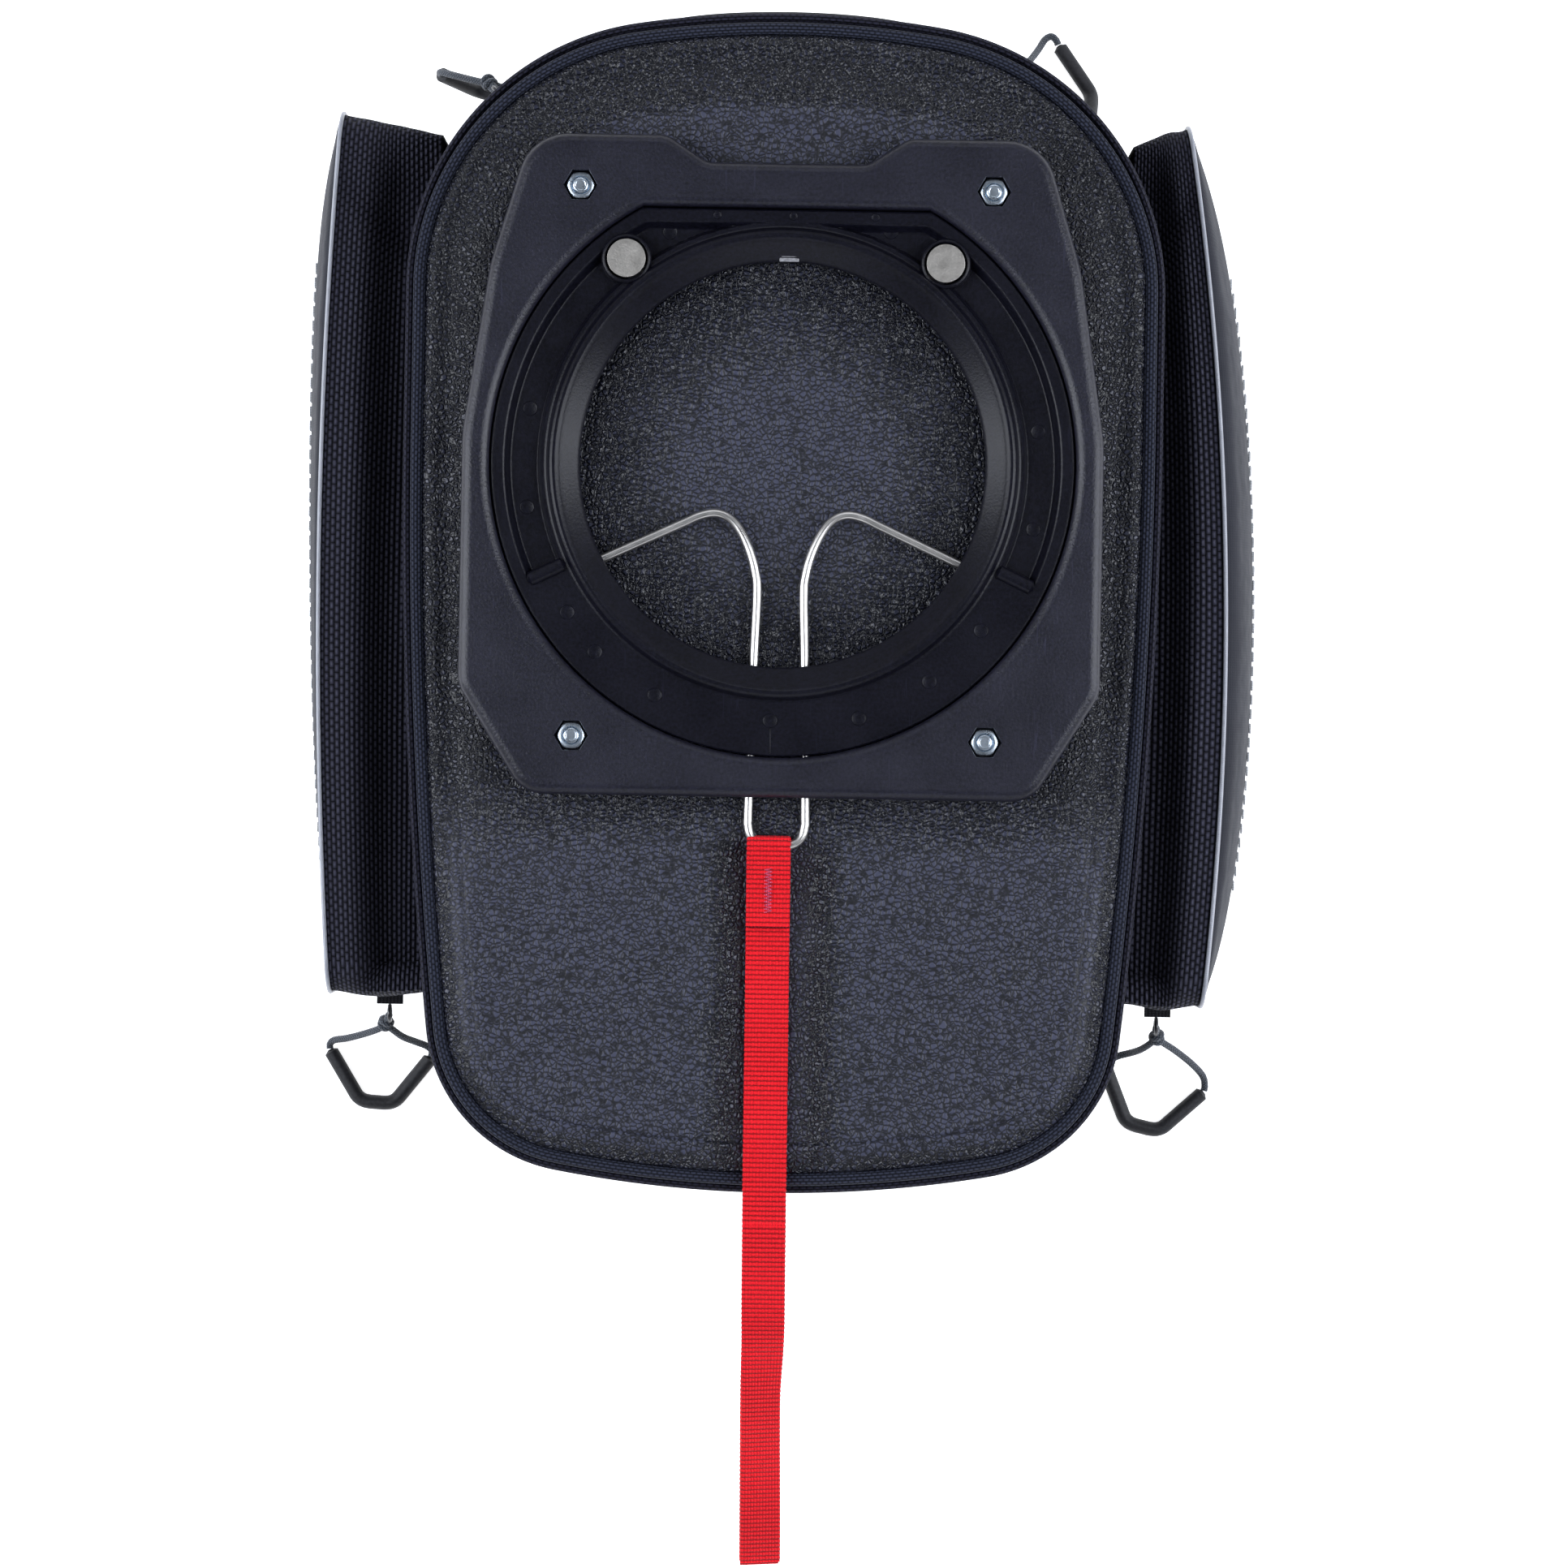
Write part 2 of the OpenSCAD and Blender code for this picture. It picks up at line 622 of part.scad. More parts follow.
mounting_plate();
lock_ring();
hex_nuts();
plate_screws();
screw_washers();
ring_magnets();
base_panel();
base_stiffener();
base_piping();
side_wall();
inner_lining();
main_zip_tape();
expansion_zip();
lid_hinge_flap();
carry_handle();
pocket_gusset_left();
pocket_gusset_right();
pocket_panel_left();
pocket_panel_right();
pocket_piping_left();
pocket_piping_right();
pocket_zip_left();
pocket_zip_right();
wire_clip();
pull_strap();
lid_panel();
lid_gusset();
lid_piping();
lid_lining();
lid_zip_tape();
main_slider();
expansion_slider();
pocket_slider_left();
pocket_slider_right();
main_pull_tab();
expansion_pull_tab();
left_pull_tab();
right_pull_tab();
main_pull_cord();
expansion_pull_cord();
left_pull_cord();
right_pull_cord();
main_pull_grip();
expansion_pull_grip();
left_pull_grip();
right_pull_grip();
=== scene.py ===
import math
import bmesh
import bpy
import numpy as np
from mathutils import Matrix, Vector, noise


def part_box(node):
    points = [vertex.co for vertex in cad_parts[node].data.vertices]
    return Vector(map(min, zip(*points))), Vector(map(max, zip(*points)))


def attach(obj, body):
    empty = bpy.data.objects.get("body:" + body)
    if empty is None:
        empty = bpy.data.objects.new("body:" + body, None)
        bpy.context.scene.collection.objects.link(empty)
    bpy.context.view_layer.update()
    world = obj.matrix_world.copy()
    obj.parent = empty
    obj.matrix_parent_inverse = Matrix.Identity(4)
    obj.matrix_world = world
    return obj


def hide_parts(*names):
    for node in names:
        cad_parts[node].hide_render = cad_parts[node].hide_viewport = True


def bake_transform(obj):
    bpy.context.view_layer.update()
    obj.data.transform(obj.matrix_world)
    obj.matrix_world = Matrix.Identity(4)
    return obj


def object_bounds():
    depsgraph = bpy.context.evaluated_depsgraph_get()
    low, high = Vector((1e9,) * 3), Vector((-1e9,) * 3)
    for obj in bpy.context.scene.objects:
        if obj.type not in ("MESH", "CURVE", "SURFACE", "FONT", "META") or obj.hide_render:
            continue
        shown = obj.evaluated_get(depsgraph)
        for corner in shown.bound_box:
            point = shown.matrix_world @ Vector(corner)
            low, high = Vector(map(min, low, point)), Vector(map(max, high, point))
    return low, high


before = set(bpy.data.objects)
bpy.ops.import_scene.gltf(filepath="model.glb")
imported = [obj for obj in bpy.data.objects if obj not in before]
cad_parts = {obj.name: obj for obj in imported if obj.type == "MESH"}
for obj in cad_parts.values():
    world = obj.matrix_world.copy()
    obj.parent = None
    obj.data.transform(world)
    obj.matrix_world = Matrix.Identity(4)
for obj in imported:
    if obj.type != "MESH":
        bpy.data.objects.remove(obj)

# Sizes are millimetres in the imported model's frame; make_mesh turns them into metres.
MM = 0.001
cad_low, cad_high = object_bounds()


def corners(node):
    """Lowest and highest corner of a CAD node, in millimetres."""
    low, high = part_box(node)
    return np.array(low) / MM, np.array(high) / MM


PIPING_LOW, PIPING_HIGH = corners("base_piping")
FRONT_Y, REAR_Y, HALF_W = PIPING_HIGH[1], PIPING_LOW[1], PIPING_HIGH[0]
FLOOR_Z = cad_low.z / MM
BASE_Z = corners("base_panel")[1][2]
WALL_LOW, WALL_HIGH = corners("side_wall")
ZIP_Z = corners("main_zip_tape")[0][2] - 0.2
EXPANSION_LOW, EXPANSION_HIGH = corners("expansion_zip")
WIRE_R = 1.45
WIRE_Z = corners("wire_clip")[1][2] - WIRE_R


# ---- camera and light

CAMERA_AT = (0.0022, -0.1006, 1.6)
CAMERA_ROLL = 1.0
LENS = 117.0


def make_camera():
    data = bpy.data.cameras.new("camera")
    data.lens = LENS
    data.clip_start = 0.1
    camera = bpy.data.objects.new("camera", data)
    camera.location = CAMERA_AT
    camera.rotation_euler = (0, 0, math.radians(CAMERA_ROLL))
    bpy.context.scene.collection.objects.link(camera)
    bpy.context.scene.camera = camera


LAMP_COLOR = (0.88, 0.92, 1.0)
# Places on the sky's ramp, where 0 is level and 1 is straight up, and the colours there
HORIZON = (0.14, (0.86, 0.88, 0.92, 1))
OVERHEAD = (0.42, (0.085, 0.09, 0.10, 1))


def soft_box(name, at, aim, size, power):
    data = bpy.data.lights.new(name, "AREA")
    data.shape = "RECTANGLE"
    data.size, data.size_y = size
    data.energy = power
    data.color = LAMP_COLOR
    lamp = bpy.data.objects.new(name, data)
    lamp.location = at
    lamp.rotation_euler = (Vector(aim) - Vector(at)).to_track_quat("-Z", "Y").to_euler()
    bpy.context.scene.collection.objects.link(lamp)


def set_stops(ramp, *stops):
    """Sets a colour ramp's two (position, colour) stops."""
    for element, (position, color) in zip(ramp.color_ramp.elements, stops):
        element.position = position
        element.color = color


def studio():
    """Surroundings that are pale at the horizon and dark overhead, as between two soft boxes."""
    world = bpy.data.worlds.new("studio")
    world.use_nodes = True
    nodes, links = world.node_tree.nodes, world.node_tree.links
    split = nodes.new("ShaderNodeSeparateXYZ")
    ramp = nodes.new("ShaderNodeValToRGB")
    set_stops(ramp, HORIZON, OVERHEAD)
    links.new(nodes.new("ShaderNodeTexCoord").outputs["Generated"], split.inputs[0])
    links.new(split.outputs[2], ramp.inputs[0])
    links.new(ramp.outputs[0], nodes["Background"].inputs["Color"])
    return world


def make_light():
    middle = (0, -0.04, -0.05)
    for side in (-1, 1):
        soft_box("side_light", (1.25 * side, -0.05, 0.95), middle, (0.8, 1.7), 30.0)
    soft_box("front_light", (0, 1.3, 1.1), middle, (1.4, 0.4), 4.0)
    soft_box("rear_light", (0, -1.5, 0.8), middle, (1.4, 0.4), 3.0)
    bpy.context.scene.world = studio()
    bpy.context.scene.view_settings.view_transform = "Standard"


# ---- mesh helpers

def make_mesh(name, points, faces, uvs=None, sharp=40.0):
    """A mesh object from points in millimetres. uvs holds one pair for each corner of each face."""
    mesh = bpy.data.meshes.new(name)
    mesh.from_pydata((np.asarray(points) * MM).tolist(), [], faces)
    if uvs is not None:
        mesh.uv_layers.new(name="UVMap").data.foreach_set("uv", np.asarray(uvs, np.float32).ravel())
    mesh.polygons.foreach_set("use_smooth", [True] * len(mesh.polygons))
    mesh.set_sharp_from_angle(angle=math.radians(sharp))
    piece = bpy.data.objects.new(name, mesh)
    bpy.context.scene.collection.objects.link(piece)
    return piece


def spans(points):
    """Running length along the first axis of an array of points, averaged over the second."""
    steps = np.linalg.norm(np.diff(points, axis=0), axis=-1)
    return np.concatenate([[0], np.cumsum(steps.mean(axis=1))])


def grid(rows, around=False, over=False, caps=False):
    """A quad sheet's points, faces and UVs.

    around joins each row's ends, over joins the last row to the first, caps closes the first and last rows.
    """
    rows = np.asarray(rows, float)
    n, m = rows.shape[:2]
    wide = np.concatenate([rows, rows[:1]]) if over else rows
    long = np.concatenate([rows, rows[:, :1]], axis=1) if around else rows
    v = spans(wide) * MM
    u = spans(np.swapaxes(long, 0, 1)) * MM
    faces, uvs = [], []
    for i in range(len(v) - 1):
        for j in range(len(u) - 1):
            here, beyond = i * m, (i + 1) % n * m
            after = (j + 1) % m
            faces.append((here + j, here + after, beyond + after, beyond + j))
            uvs += [(u[j], v[i]), (u[j + 1], v[i]), (u[j + 1], v[i + 1]), (u[j], v[i + 1])]
    if caps:
        faces.append(tuple(range(m))[::-1])
        faces.append(tuple(range((n - 1) * m, n * m)))
        uvs += [(0, 0)] * (2 * m)
    return rows.reshape(-1, 3), faces, uvs


def grid_piece(name, rows, around=False, over=False, sharp=40.0):
    return make_mesh(name, *grid(rows, around, over), sharp)


def joined(name, parts, sharp=40.0):
    """One mesh object from several (points, faces, uvs)."""
    points, faces, uvs = [], [], []
    for part_points, part_faces, part_uvs in parts:
        first = sum(len(p) for p in points)
        points.append(np.asarray(part_points))
        faces += [tuple(i + first for i in face) for face in part_faces]
        uvs += list(part_uvs)
    return make_mesh(name, np.concatenate(points), faces, uvs, sharp)


def outward(piece):
    """Turns all of a closed mesh's faces outwards."""
    shape = bmesh.new()
    shape.from_mesh(piece.data)
    bmesh.ops.recalc_face_normals(shape, faces=shape.faces)
    shape.to_mesh(piece.data)
    shape.free()


def dress(piece, look, body="root", replaces=()):
    """Gives a piece its material, turns its faces outwards, sets what it rides on and hides the CAD nodes it
    stands for.
    """
    piece.data.materials.clear()
    piece.data.materials.append(LOOKS[look])
    outward(piece)
    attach(piece, body)
    if replaces:
        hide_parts(*replaces)
    return piece


def ease(low, high, value):
    """0 below low, 1 above high and smooth between them; low may be the larger."""
    t = np.clip((np.asarray(value, float) - low) / (high - low), 0, 1)
    return t * t * (3 - 2 * t)


def wander(points, size, seed=0.0):
    """Smooth noise from -1 to 1 at each point, with features of the given size."""
    return np.array([noise.noise(Vector((x / size + seed, y / size, z / size))) for x, y, z in points])


def full_turn(count):
    return np.linspace(0, 2 * math.pi, count, endpoint=False)


def heading(angle):
    return np.array([math.cos(angle), math.sin(angle)])


def unit(vector):
    return vector / np.linalg.norm(vector)


def level(plan, z):
    """Plan points at one height."""
    return np.column_stack([plan[:, :2], np.full(len(plan), z)])


def running(points):
    """The length along a path up to each of its points."""
    return np.concatenate([[0], np.cumsum(np.linalg.norm(np.diff(points, axis=0), axis=1))])


def evenly(outline, count):
    """A closed outline's rows, which start with its two coordinates, at even distances round it."""
    closed = np.concatenate([outline, outline[:1]])
    run = running(closed[:, :2])
    even = np.linspace(0, run[-1], count, endpoint=False)
    return np.stack([np.interp(even, run, column) for column in closed.T], axis=1)


def resample(points, step):
    lengths = running(points)
    count = max(2, round(lengths[-1] / step) + 1)
    even = np.linspace(0, lengths[-1], count)
    return np.stack([np.interp(even, lengths, points[:, k]) for k in range(3)], axis=1)


def smooth_path(points, step):
    """A Catmull-Rom curve through the points, sampled about every step."""
    p = [np.array(q, float) for q in points]
    p = [2 * p[0] - p[1], *p, 2 * p[-1] - p[-2]]
    dense = []
    for a, b, c, d in zip(p, p[1:], p[2:], p[3:]):
        for t in np.linspace(0, 1, 24, endpoint=False):
            dense.append(0.5 * (2 * b + (c - a) * t + (2 * a - 5 * b + 4 * c - d) * t**2
                                + (3 * b - a - 3 * c + d) * t**3))
    dense.append(p[-2])
    return resample(np.array(dense), step)


def frames(points):
    """Unit vectors along a path and two across it that don't twist."""
    along = np.gradient(points, axis=0)
    along /= np.linalg.norm(along, axis=1)[:, None]
    side = np.cross(along[0], (0.3, 0.2, 0.93))
    first, second = [], []
    for t in along:
        side = unit(side - t * (side @ t))
        first.append(side)
        second.append(np.cross(t, side))
    return along, np.array(first), np.array(second)


def tube(points, radius, sides=12, tip=0.0):
    """Rings round a path. radius is a number or one for each point; tip rounds the ends over that length."""
    points = np.asarray(points, float)
    _, first, second = frames(points)
    radii = np.full(len(points), radius) if np.isscalar(radius) else np.asarray(radius)
    if tip:
        run = running(points)
        near = np.clip(np.minimum(run, run[-1] - run) / tip, 0, 1)
        radii = radii * (0.35 + 0.65 * np.sqrt(1 - (1 - near) ** 2))
    turn = full_turn(sides)
    across = np.cos(turn)[None, :, None] * first[:, None] + np.sin(turn)[None, :, None] * second[:, None]
    return points[:, None] + radii[:, None, None] * across


def rod(points, radius, sides=12, tip=0.0):
    return grid(tube(points, radius, sides, tip), around=True, caps=True)


def block(size, at, x_axis=(1, 0, 0), y_axis=(0, 1, 0), round_by=0.3):
    """A small box with rounded edges, as (points, faces, uvs)."""
    shape = bmesh.new()
    bmesh.ops.create_cube(shape, size=1.0)
    x, y = np.array(x_axis, float), np.array(y_axis, float)
    z = np.cross(x, y)
    for vertex in shape.verts:
        local = np.array(vertex.co) * size
        vertex.co = np.array(at) + local[0] * x + local[1] * y + local[2] * z
    if round_by:
        edges = list(shape.edges)
        bmesh.ops.bevel(shape, geom=edges, offset=round_by, segments=2, affect="EDGES", profile=0.5)
    return plain(shape)


def plain(shape):
    """The points, faces and UVs of a bmesh, which is then freed."""
    shape.verts.index_update()
    points = np.array([v.co for v in shape.verts])
    faces = [tuple(v.index for v in face.verts) for face in shape.faces]
    uvs = [(points[i][0] * MM, points[i][1] * MM) for face in faces for i in face]
    shape.free()
    return points, faces, uvs


def turned(profile, at, steps, caps=True):
    """A solid of revolution about an upright axis, from (radius, z) pairs."""
    turn = full_turn(steps)
    rows = [[np.array(at) + (r * math.cos(a), r * math.sin(a), z) for a in turn] for r, z in profile]
    return grid(rows, around=True, caps=caps)


# ---- materials

class Look:
    """A Principled material with its height, colour and roughness built from procedural patterns."""

    def __init__(self, name, color, roughness, metallic=0.0, **weights):
        self.material = bpy.data.materials.new(name)
        self.material.use_nodes = True
        self.nodes = self.material.node_tree.nodes
        self.links = self.material.node_tree.links
        self.shader = self.nodes["Principled BSDF"]
        self.shader.inputs["Base Color"].default_value = (*color, 1)
        self.shader.inputs["Roughness"].default_value = roughness
        self.shader.inputs["Metallic"].default_value = metallic
        for words, value in weights.items():
            socket = words.replace("_", " ").title().replace("Ior", "IOR")
            self.shader.inputs[socket].default_value = value
        self.normal = None

    def node(self, kind, inputs=(), **settings):
        made = self.nodes.new("ShaderNode" + kind)
        for key, value in settings.items():
            setattr(made, key, value)
        for key, value in dict(inputs).items():
            if isinstance(value, bpy.types.NodeSocket):
                self.links.new(value, made.inputs[key])
            else:
                made.inputs[key].default_value = value
        return made

    def math(self, operation, a, b=0.0):
        return self.node("Math", {0: a, 1: b}, operation=operation).outputs[0]

    def times(self, a, b):
        return self.math("MULTIPLY", a, b)

    def plus(self, a, b):
        return self.math("ADD", a, b)

    def humps(self, run, pitch=1.0):
        """0 at every whole pitch and 1 half-way between."""
        return self.math("ABSOLUTE", self.math("SINE", self.times(run, math.pi / pitch)))

    def place(self):
        return self.node("TexCoord").outputs["Object"]

    def uv(self):
        split = self.node("SeparateXYZ", {0: self.node("UVMap").outputs[0]})
        return split.outputs[0], split.outputs[1]

    def attribute(self, name):
        return self.node("Attribute", attribute_name=name).outputs["Fac"]

    def noise(self, size, detail=3.0, distortion=0.0, stretch=None):
        """Noise with features of the given size in metres."""
        vector = self.place()
        if stretch:
            vector = self.node("Mapping", {"Vector": vector, "Scale": stretch}).outputs[0]
        inputs = {"Vector": vector, "Scale": 1 / size, "Detail": detail, "Distortion": distortion}
        return self.node("TexNoise", inputs).outputs["Fac"]

    def between(self, factor, low, high):
        return self.node("MapRange", {"Value": factor, "To Min": low, "To Max": high}).outputs[0]

    def pick(self, factor, low, high):
        """low where the factor is 0, high where it is 1."""
        return self.node("Mix", {0: factor, 2: low, 3: high}, data_type="FLOAT").outputs[0]

    def color_between(self, factor, low, high, start=0.0, end=1.0):
        ramp = self.node("ValToRGB", {0: factor})
        set_stops(ramp, (start, (*low, 1)), (end, (*high, 1)))
        self.links.new(ramp.outputs[0], self.shader.inputs["Base Color"])

    def rough(self, factor, low, high):
        self.links.new(self.between(factor, low, high), self.shader.inputs["Roughness"])

    def relief(self, height, depth):
        """Adds a bump of the given depth in metres."""
        inputs = {"Height": height, "Distance": depth, "Strength": 1.0}
        if self.normal:
            inputs["Normal"] = self.normal
        self.normal = self.node("Bump", inputs).outputs[0]
        self.links.new(self.normal, self.shader.inputs["Normal"])

    def weave(self, across, along):
        """Height of a plain weave, 0 between the threads and 1 on their crowns. Pitches in metres."""
        u, v = self.uv()
        u, v = self.math("DIVIDE", u, across), self.math("DIVIDE", v, along)
        spot = self.node("CombineXYZ", {0: u, 1: v, 2: 0.5}).outputs[0]
        square = self.node("TexChecker", {"Vector": spot, "Scale": 1.0}).outputs["Fac"]
        a, b = self.humps(u), self.humps(v)
        warp = self.times(self.math("POWER", a, 0.5), self.math("POWER", b, 1.4))
        weft = self.times(self.math("POWER", a, 1.4), self.math("POWER", b, 0.5))
        return self.pick(square, warp, weft)

    def bricks(self, long, wide):
        """Height of a basket weave of threads that size, each row set off by half a thread."""
        u, v = self.uv()
        v = self.math("DIVIDE", v, wide)
        row = self.math("FLOOR", v)
        half = self.times(self.math("MODULO", row, 2.0), 0.5)
        u = self.plus(self.math("DIVIDE", u, long), half)
        a, b = self.humps(u), self.humps(v)
        return self.times(self.math("POWER", a, 0.6), self.math("POWER", b, 0.8))

    def pebbles(self):
        """Uneven rounded grains of about 1.5 mm, 0 between them and 1 on top."""
        noisy = {"Vector": self.place(), "Scale": 420.0, "Detail": 2.0}
        push = self.node("TexNoise", noisy).outputs["Color"]
        shift = self.node("VectorMath", {0: push, 1: (0.0016, 0.0016, 0.0016)}, operation="MULTIPLY")
        place = self.node("VectorMath", {0: self.place(), 1: shift.outputs[0]}, operation="ADD").outputs[0]
        cells = self.node("TexVoronoi", {"Vector": place, "Scale": 640.0}, feature="DISTANCE_TO_EDGE")
        inputs = {"Value": cells.outputs[0], "From Max": 0.32}
        return self.node("MapRange", inputs, interpolation_type="SMOOTHSTEP").outputs[0]


def tint(color, factor):
    return tuple(min(1.0, c * factor) for c in color)


def woven(name, color, across, along, depth, glint=2.2, bricks=False):
    """Cloth with a plain or a brick weave, its colour painted dark between the threads as painted shade and
    pale on their crowns as a painted highlight (the glint).
    """
    look = Look(name, color, 0.75, specular_ior_level=0.12)
    height = look.bricks(across, along) if bricks else look.weave(across, along)
    fuzz = look.noise(0.0006, 2.0)
    # Painted shade between the threads and a painted highlight, as strong as glint, on their crowns
    look.color_between(look.times(height, look.between(fuzz, 0.6, 1.3)),
                       tint(color, 0.25), tint(color, glint), 0.0, 0.95)
    look.relief(look.noise(0.012, 2.0), 0.0012)
    look.relief(height, depth)
    return look.material


def moulded(name, color, roughness, worn=0.0, grain=0.00006, gloss=0.4):
    """Moulded plastic with a fine grain, cloudy gloss and light scratches."""
    look = Look(name, color, roughness, specular_ior_level=gloss)
    cloud = look.noise(0.018, 4.0)
    scratch = look.noise(0.0012, 2.0, 0.6, (1.0, 0.06, 1.0))
    marks = look.times(look.math("GREATER_THAN", scratch, 0.71), worn)
    speck = look.noise(0.001, 3.0)
    tone = look.plus(look.times(cloud, 0.35), look.plus(marks, speck))
    look.color_between(tone, tint(color, 0.4), tint(color, 2.2), 0.4, 1.0)
    look.rough(cloud, roughness - 0.06, roughness + 0.08)
    look.relief(look.noise(0.0008, 3.0), grain)
    return look.material


def bare_metal(name, color, roughness, size=0.0007, depth=0.00002):
    look = Look(name, color, roughness, 1.0)
    grain = look.noise(size, 3.0)
    look.color_between(grain, tint(color, 0.75), tint(color, 1.15))
    look.rough(look.noise(0.004), roughness - 0.08, roughness + 0.1)
    look.relief(grain, depth)
    return look.material


def leather(name, color, fine=True):
    """Grained foam skin, painted darker in the creases between its grains as painted shade. The deep-grain
    attribute picks the deep shiny grain of slopes over the fine one and also darkens the colour there, which
    is partly painted shade beside the plate, round the bore and on the rim under the piping.
    """
    look = Look(name, color, 0.5, specular_ior_level=0.36)
    deep_grain_and_shade = look.attribute("deep_grain_and_shade") if fine else look.between(look.noise(0.03), 0.2, 0.6)
    fuzz = look.noise(0.0012, 2.0, 0.4)
    height = look.plus(look.times(look.pebbles(), 0.6), look.times(fuzz, 0.4))
    # Painted shade: the colour darkens in the creases between the grains and where the deep-grain mask is
    # high
    shade = look.times(height, look.pick(deep_grain_and_shade, 1.04, 0.5))
    look.color_between(look.times(shade, look.between(look.noise(0.03, 2.0), 0.85, 1.15)),
                       tint(color, 0.2), tint(color, 2.3), 0.22, 0.72)
    look.links.new(look.pick(deep_grain_and_shade, 0.48, 0.24), look.shader.inputs["Roughness"])
    height = look.times(height, look.pick(deep_grain_and_shade, 0.6, 1.7))
    look.relief(look.noise(0.009, 2.0), 0.0008)
    look.relief(height, 0.00042)
    return look.material


def braid(name, color, pitch):
    """Round braided cord: two crossing sets of strands, painted pale on their crowns and dark where they
    dip, as painted highlight and painted shade.
    """
    look = Look(name, color, 0.7, sheen_weight=0.2)
    u, v = look.uv()
    lean = look.times(u, 1 / pitch)
    run = look.times(v, 1 / pitch)
    height = look.times(look.humps(look.plus(lean, run)), look.humps(look.math("SUBTRACT", lean, run)))
    # Painted highlight on the strand crowns and painted shade where they dip
    look.color_between(height, tint(color, 0.35), tint(color, 2.0))
    look.relief(height, 0.00035)
    return look.material


def webbing(name, color, across, along):
    """Ribbed strap: rows of loops across it, with the gaps between them painted dark as painted shade."""
    look = Look(name, color, 0.7, sheen_weight=0.04, specular_ior_level=0.2)
    height = look.weave(across, along)
    row = look.humps(look.uv()[1], along)
    both = look.plus(look.times(height, 0.55), look.times(row, 0.45))
    fuzz = look.noise(0.0004, 2.0)
    # Painted shade in the gaps between the rows of loops and between the threads
    look.color_between(look.times(both, look.between(fuzz, 0.7, 1.25)),
                       tint(color, 0.3), tint(color, 1.15), 0.02, 0.6)
    look.relief(both, 0.0006)
    return look.material


def coated(name, color, roughness):
    """Smooth coated cloth with a faint weave under its skin."""
    look = Look(name, color, roughness, specular_ior_level=0.14)
    look.color_between(look.noise(0.02, 3.0), tint(color, 0.8), tint(color, 1.25))
    look.rough(look.noise(0.006, 3.0), roughness - 0.05, roughness + 0.1)
    look.relief(look.noise(0.014, 2.0), 0.0012)
    look.relief(look.weave(0.0008, 0.0008), 0.00004)
    return look.material


def glossy(name, color, roughness, stripe=0.0):
    look = Look(name, color, roughness, coat_weight=0.5, coat_roughness=0.1)
    look.color_between(look.noise(0.003, 3.0), tint(color, 0.85), tint(color, 1.2))
    look.rough(look.noise(0.002, 2.0), roughness - 0.05, roughness + 0.1)
    if stripe:
        look.relief(look.weave(stripe, stripe), 0.00008)
    return look.material


LOOKS = {
    "plate": moulded("plate_plastic", (0.006, 0.006, 0.012), 0.37, worn=0.5, grain=0.00012, gloss=0.38),
    "ring": moulded("ring_plastic", (0.003, 0.003, 0.006), 0.32, worn=1.5, grain=0.00006, gloss=0.2),
    "tab": moulded("tab_plastic", (0.16, 0.16, 0.17), 0.5),
    "zinc": bare_metal("zinc", (0.60, 0.68, 0.76), 0.28),
    "nickel": bare_metal("nickel", (0.66, 0.63, 0.58), 0.34, depth=0.00006),
    "wire": bare_metal("spring_steel", (0.74, 0.72, 0.69), 0.30, size=0.012),
    "base": leather("grained_foam", (0.0175, 0.019, 0.032)),
    "lid": leather("grained_foam_lid", (0.030, 0.032, 0.038), fine=False),
    "piping": woven("piping_weave", (0.007, 0.008, 0.013), 0.0019, 0.0011, 0.0006, glint=5.0, bricks=True),
    "wall": woven("wall_weave", (0.004, 0.004, 0.007), 0.0023, 0.0013, 0.0006, glint=6.0, bricks=True),
    # The basket weave's thread crowns carry a strong painted highlight
    "gusset": woven("basket_weave", (0.004, 0.004, 0.006), 0.0027, 0.0016, 0.0015, glint=14.0, bricks=True),
    "lining": woven("lining_weave", (0.08, 0.09, 0.10), 0.0006, 0.0006, 0.00005),
    "tape": woven("tape_weave", (0.009, 0.009, 0.011), 0.0006, 0.0012, 0.00018),
    "teeth": glossy("coil_nylon", (0.012, 0.012, 0.014), 0.4),
    "panel": coated("coated_cloth", (0.020, 0.021, 0.028), 0.58),
    "reflective": glossy("reflective_piping", (0.27, 0.28, 0.32), 0.4, 0.0006),
    "thread": woven("white_thread", (0.55, 0.56, 0.58), 0.0004, 0.0004, 0.00008, glint=1.4),
    "enamel": glossy("black_enamel", (0.015, 0.015, 0.018), 0.35),
    "cord": braid("braided_cord", (0.036, 0.045, 0.060), 0.0011),
    "grip": moulded("grip_rubber", (0.010, 0.010, 0.012), 0.55, grain=0.00008),
    "strap": webbing("red_webbing", (0.74, 0.005, 0.013), 0.00105, 0.00158),
    "tack": woven("tack_thread", (0.86, 0.10, 0.19), 0.0006, 0.0005, 0.00025, glint=1.3),
    # Dark red of the strap's cut end: partly the melted cut edge, partly painted shade
    "melted_edge_and_shade": woven("cut_webbing", (0.16, 0.004, 0.008), 0.0011, 0.0011, 0.0003, glint=1.4),
    "handle": webbing("black_webbing", (0.014, 0.014, 0.016), 0.0011, 0.0016),
}


# ---- the bag's outline

FRONT_R, SHOULDER_R, SIDE_R, CORNER_R = 304.0, 86.0, 1745.0, 50.5
TAPER_Y, SIDE_TURN = 10.0, math.radians(6.27)
COLUMNS = 480


